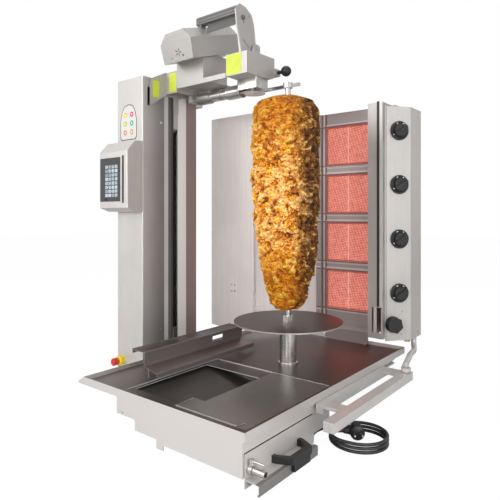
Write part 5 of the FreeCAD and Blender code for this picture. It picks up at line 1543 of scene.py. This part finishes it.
@dataclass
class Burners:
    """Burner wall with its shields, knob panel, knobs and slide frame."""

    corner: Range = (178.0, 313.0)
    far: Range = (239.0, 385.0)
    heights: tuple[float, ...] = (855.0, 674.0, 491.0, 309.5)
    bodies: tuple[str, ...] = ("gas_knob_a", "gas_knob_b", "gas_knob_c", "gas_knob_d")
    grip_turn: float = 35.0
    ring_radius: float = 4.2
    ring_above: float = 41.0
    ring_dots: int = 16

    def face_point(self, share: float, out: float, z: float) -> tuple[Vector, Vector, Vector]:
        """Point over the slanted face.

        Args:
            share: Share of the face's width, from its near edge.
            out: Distance in front of the face.
            z: Its height.

        Returns:
            The point, the face's outward way and its sideways way.
        """
        run = Vector((self.far[0] - self.corner[0], self.far[1] - self.corner[1], 0))
        side = run.normalized()
        normal = Vector((side.y, -side.x, 0))
        at = Vector((*self.corner, z)) + run * share + normal * out
        return at, normal, side

    def build(self, finishes: Finishes) -> None:
        """Dresses the burner unit and adds the flange, a dark strip of painted shade for the gap, the post at
        its shield, and the knobs.

        Args:
            finishes: The grill's finishes.
        """
        # The burner surround carries painted shade on its front and in its gaps.
        dress(finishes.frame, "burner_frame")
        dress(finishes.side, "burner_casings", "side_shield")
        dress(finishes.plaque, "burner_tiles")
        dress(finishes.wall, "oblique_panel", "wing_panel")
        dress(finishes.tower, "knob_panel")
        flange = Solid().box((167.0, 177.6), (293.4, 294.9), (265.0, 953.0))
        flange.finish("shield_flange", finishes.tower, "burner_unit", "light_steel", 0.4)
        # Painted shade: a dark strip stands for the shade in the gap between the shield and its flange.
        gap_shade = Solid().box((158.0, 166.5), (293.2, 294.6), (265.0, 951.0))
        gap_shade.finish("shield_gap_shade", finishes.ink_and_shade, "burner_unit", "grey_plastic")
        post = Solid().box((146.0, 156.0), (294.0, 299.0), (178.0, 262.0))
        post.finish("shield_post", finishes.tower, "burner_unit", "light_steel", 0.6)
        dress(finishes.tube, "link_tube", "slide_frame")
        dress(finishes.brass, "gas_manifold")
        for i, (body, z) in enumerate(zip(self.bodies, self.heights), start=1):
            self._gas_knob(finishes, body, z, i)
        dress(finishes.black, "burner_motor_knob")

    def _gas_knob(self, finishes: Finishes, body: str, z: float, number: int) -> None:
        """Builds a black knob with a skirt, a grip bar and white dots, under a ring of pale dots.

        Args:
            finishes: The grill's finishes.
            body: The body that it turns with.
            z: Its height.
            number: Its number from the top.
        """
        at, normal, side = self.face_point(0.54, 0.3, z)
        shape = Solid()
        shape.lathe([(0, 30.5), (1.2, 32), (6.2, 32), (7.6, 31), (7.8, 28), (7.0, 27), (7.0, 25), (9.5, 23.6),
                     (17.5, 21.5), (19, 20)], at, normal, 48)
        way = self._round(side, self.grip_turn)
        cross = normal.cross(way)
        base = at + normal * 8
        corners = [base + way * along + cross * across
                   for along, across in ((-24, -5.5), (24, -5.5), (24, 5.5), (-24, 5.5))]
        shape.prism(corners, normal * 16)
        knob = shape.finish(f"knob_{number}", finishes.black, body, "black_plastic", 0.8)
        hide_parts(f"gas_knob_{number}")
        ring = at - normal * 0.1 + Vector((0, 0, self.ring_above))
        band = Solid()
        for step in range(self.ring_dots):
            spot = self._round(side, 360 / self.ring_dots * step) * self.ring_radius
            band.lathe([(0, 1.0), (0.25, 1.0)], ring + spot, normal, 8)
        band.finish(f"ring_mark_{number}", finishes.badge, "burner_unit", "grey_plastic")
        marks = Solid()
        for angle, size in ((62, 2.6), (112, 2.8), (213, 2.3)):
            spot = at + self._round(side, angle) * 27.2 + normal * 7.1
            marks.lathe([(0, size), (0.5, size)], spot, normal, 14)
        marks.finish(f"knob_marks_{number}", finishes.white, body, "grey_plastic")

    def _round(self, side: Vector, angle: float) -> Vector:
        """Way on the slanted face, so many degrees from sideways."""
        return side * math.cos(math.radians(angle)) + Vector((0, 0, 1)) * math.sin(math.radians(angle))

    def screws(self) -> list[tuple[Point, Point]]:
        """Places and ways of the unit's screws.

        Returns:
            Three on the slanted face and three on the right face.
        """
        spots = []
        for share, z in ((0.66, 247.0), (0.66, 171.0), (0.09, 177.0)):
            at, normal, _ = self.face_point(share, 0.0, z)
            spots.append((tuple(at), tuple(normal)))
        return spots + [((239, 450, z), (1, 0, 0)) for z in (165, 300, 915)]


@dataclass
class Table:
    """Base with its deck, well, drawer, trough, pedestal, turntable and spit."""

    def build(self, finishes: Finishes) -> None:
        """Dresses the base and what stands on it.

        Args:
            finishes: The grill's finishes.
        """
        # The table sheets carry painted reflection and painted shadow.
        dress(finishes.deck, "top_plate")
        dress(finishes.cover, "slide_cover")
        dress(finishes.trough, "deflector_trough")
        dress(finishes.front, "under_frame")
        # The housing sheet paints shade inside the housing and on the drawer's lip.
        dress(finishes.shell, "base_housing", "drawer_box")
        # The chute's near-black sheet is painted shade inside the well.
        dress(finishes.dark, "meat_chute")
        dress(finishes.matt, "feet")
        dress(finishes.steel, "pedestal_tube", "drive_shaft", "motor_pinion", "spit_rod", "drain_valve",
              "drain_lever", "spit_support")
        dress(finishes.motor, "spit_gearmotor")
        dress(finishes.disc, "turntable")
        dress(finishes.black, "drawer_handle")


def main() -> None:
    """Builds the studio and every sub-assembly in order."""
    logging.basicConfig(level=logging.INFO, format="%(message)s")
    Studio().build()
    finishes = Finishes()
    MainsCord().build(finishes)
    MeatCone().build(finishes)
    ControlTower().build(finishes)
    ArmAndHead().build(finishes)
    burners = Burners()
    burners.build(finishes)
    Table().build(finishes)
    screws = Fasteners()
    tower = [((-178, -483, 70), (0, -1, 0))]
    tower += [(at, (1, 0, 0)) for at in ((-491, -80, 579), (-491, -82, 166), (-491, -82, 900))]
    screws.build(finishes, "screws_base", "base", tower)
    dots = [((x, 204, z), (0, -1, 0)) for x in (-404, -388) for z in (276, 300)]
    screws.build(finishes, "screws_wing", "wing", dots, 0.8)
    screws.build(finishes, "screws_panel", "burner_unit", burners.screws(), 0.9)
    screws.build(finishes, "screws_head", "head", [((-148, -8, 1218), (1, 0, 0))], 1.1)


if __name__ == "__main__":
    main()
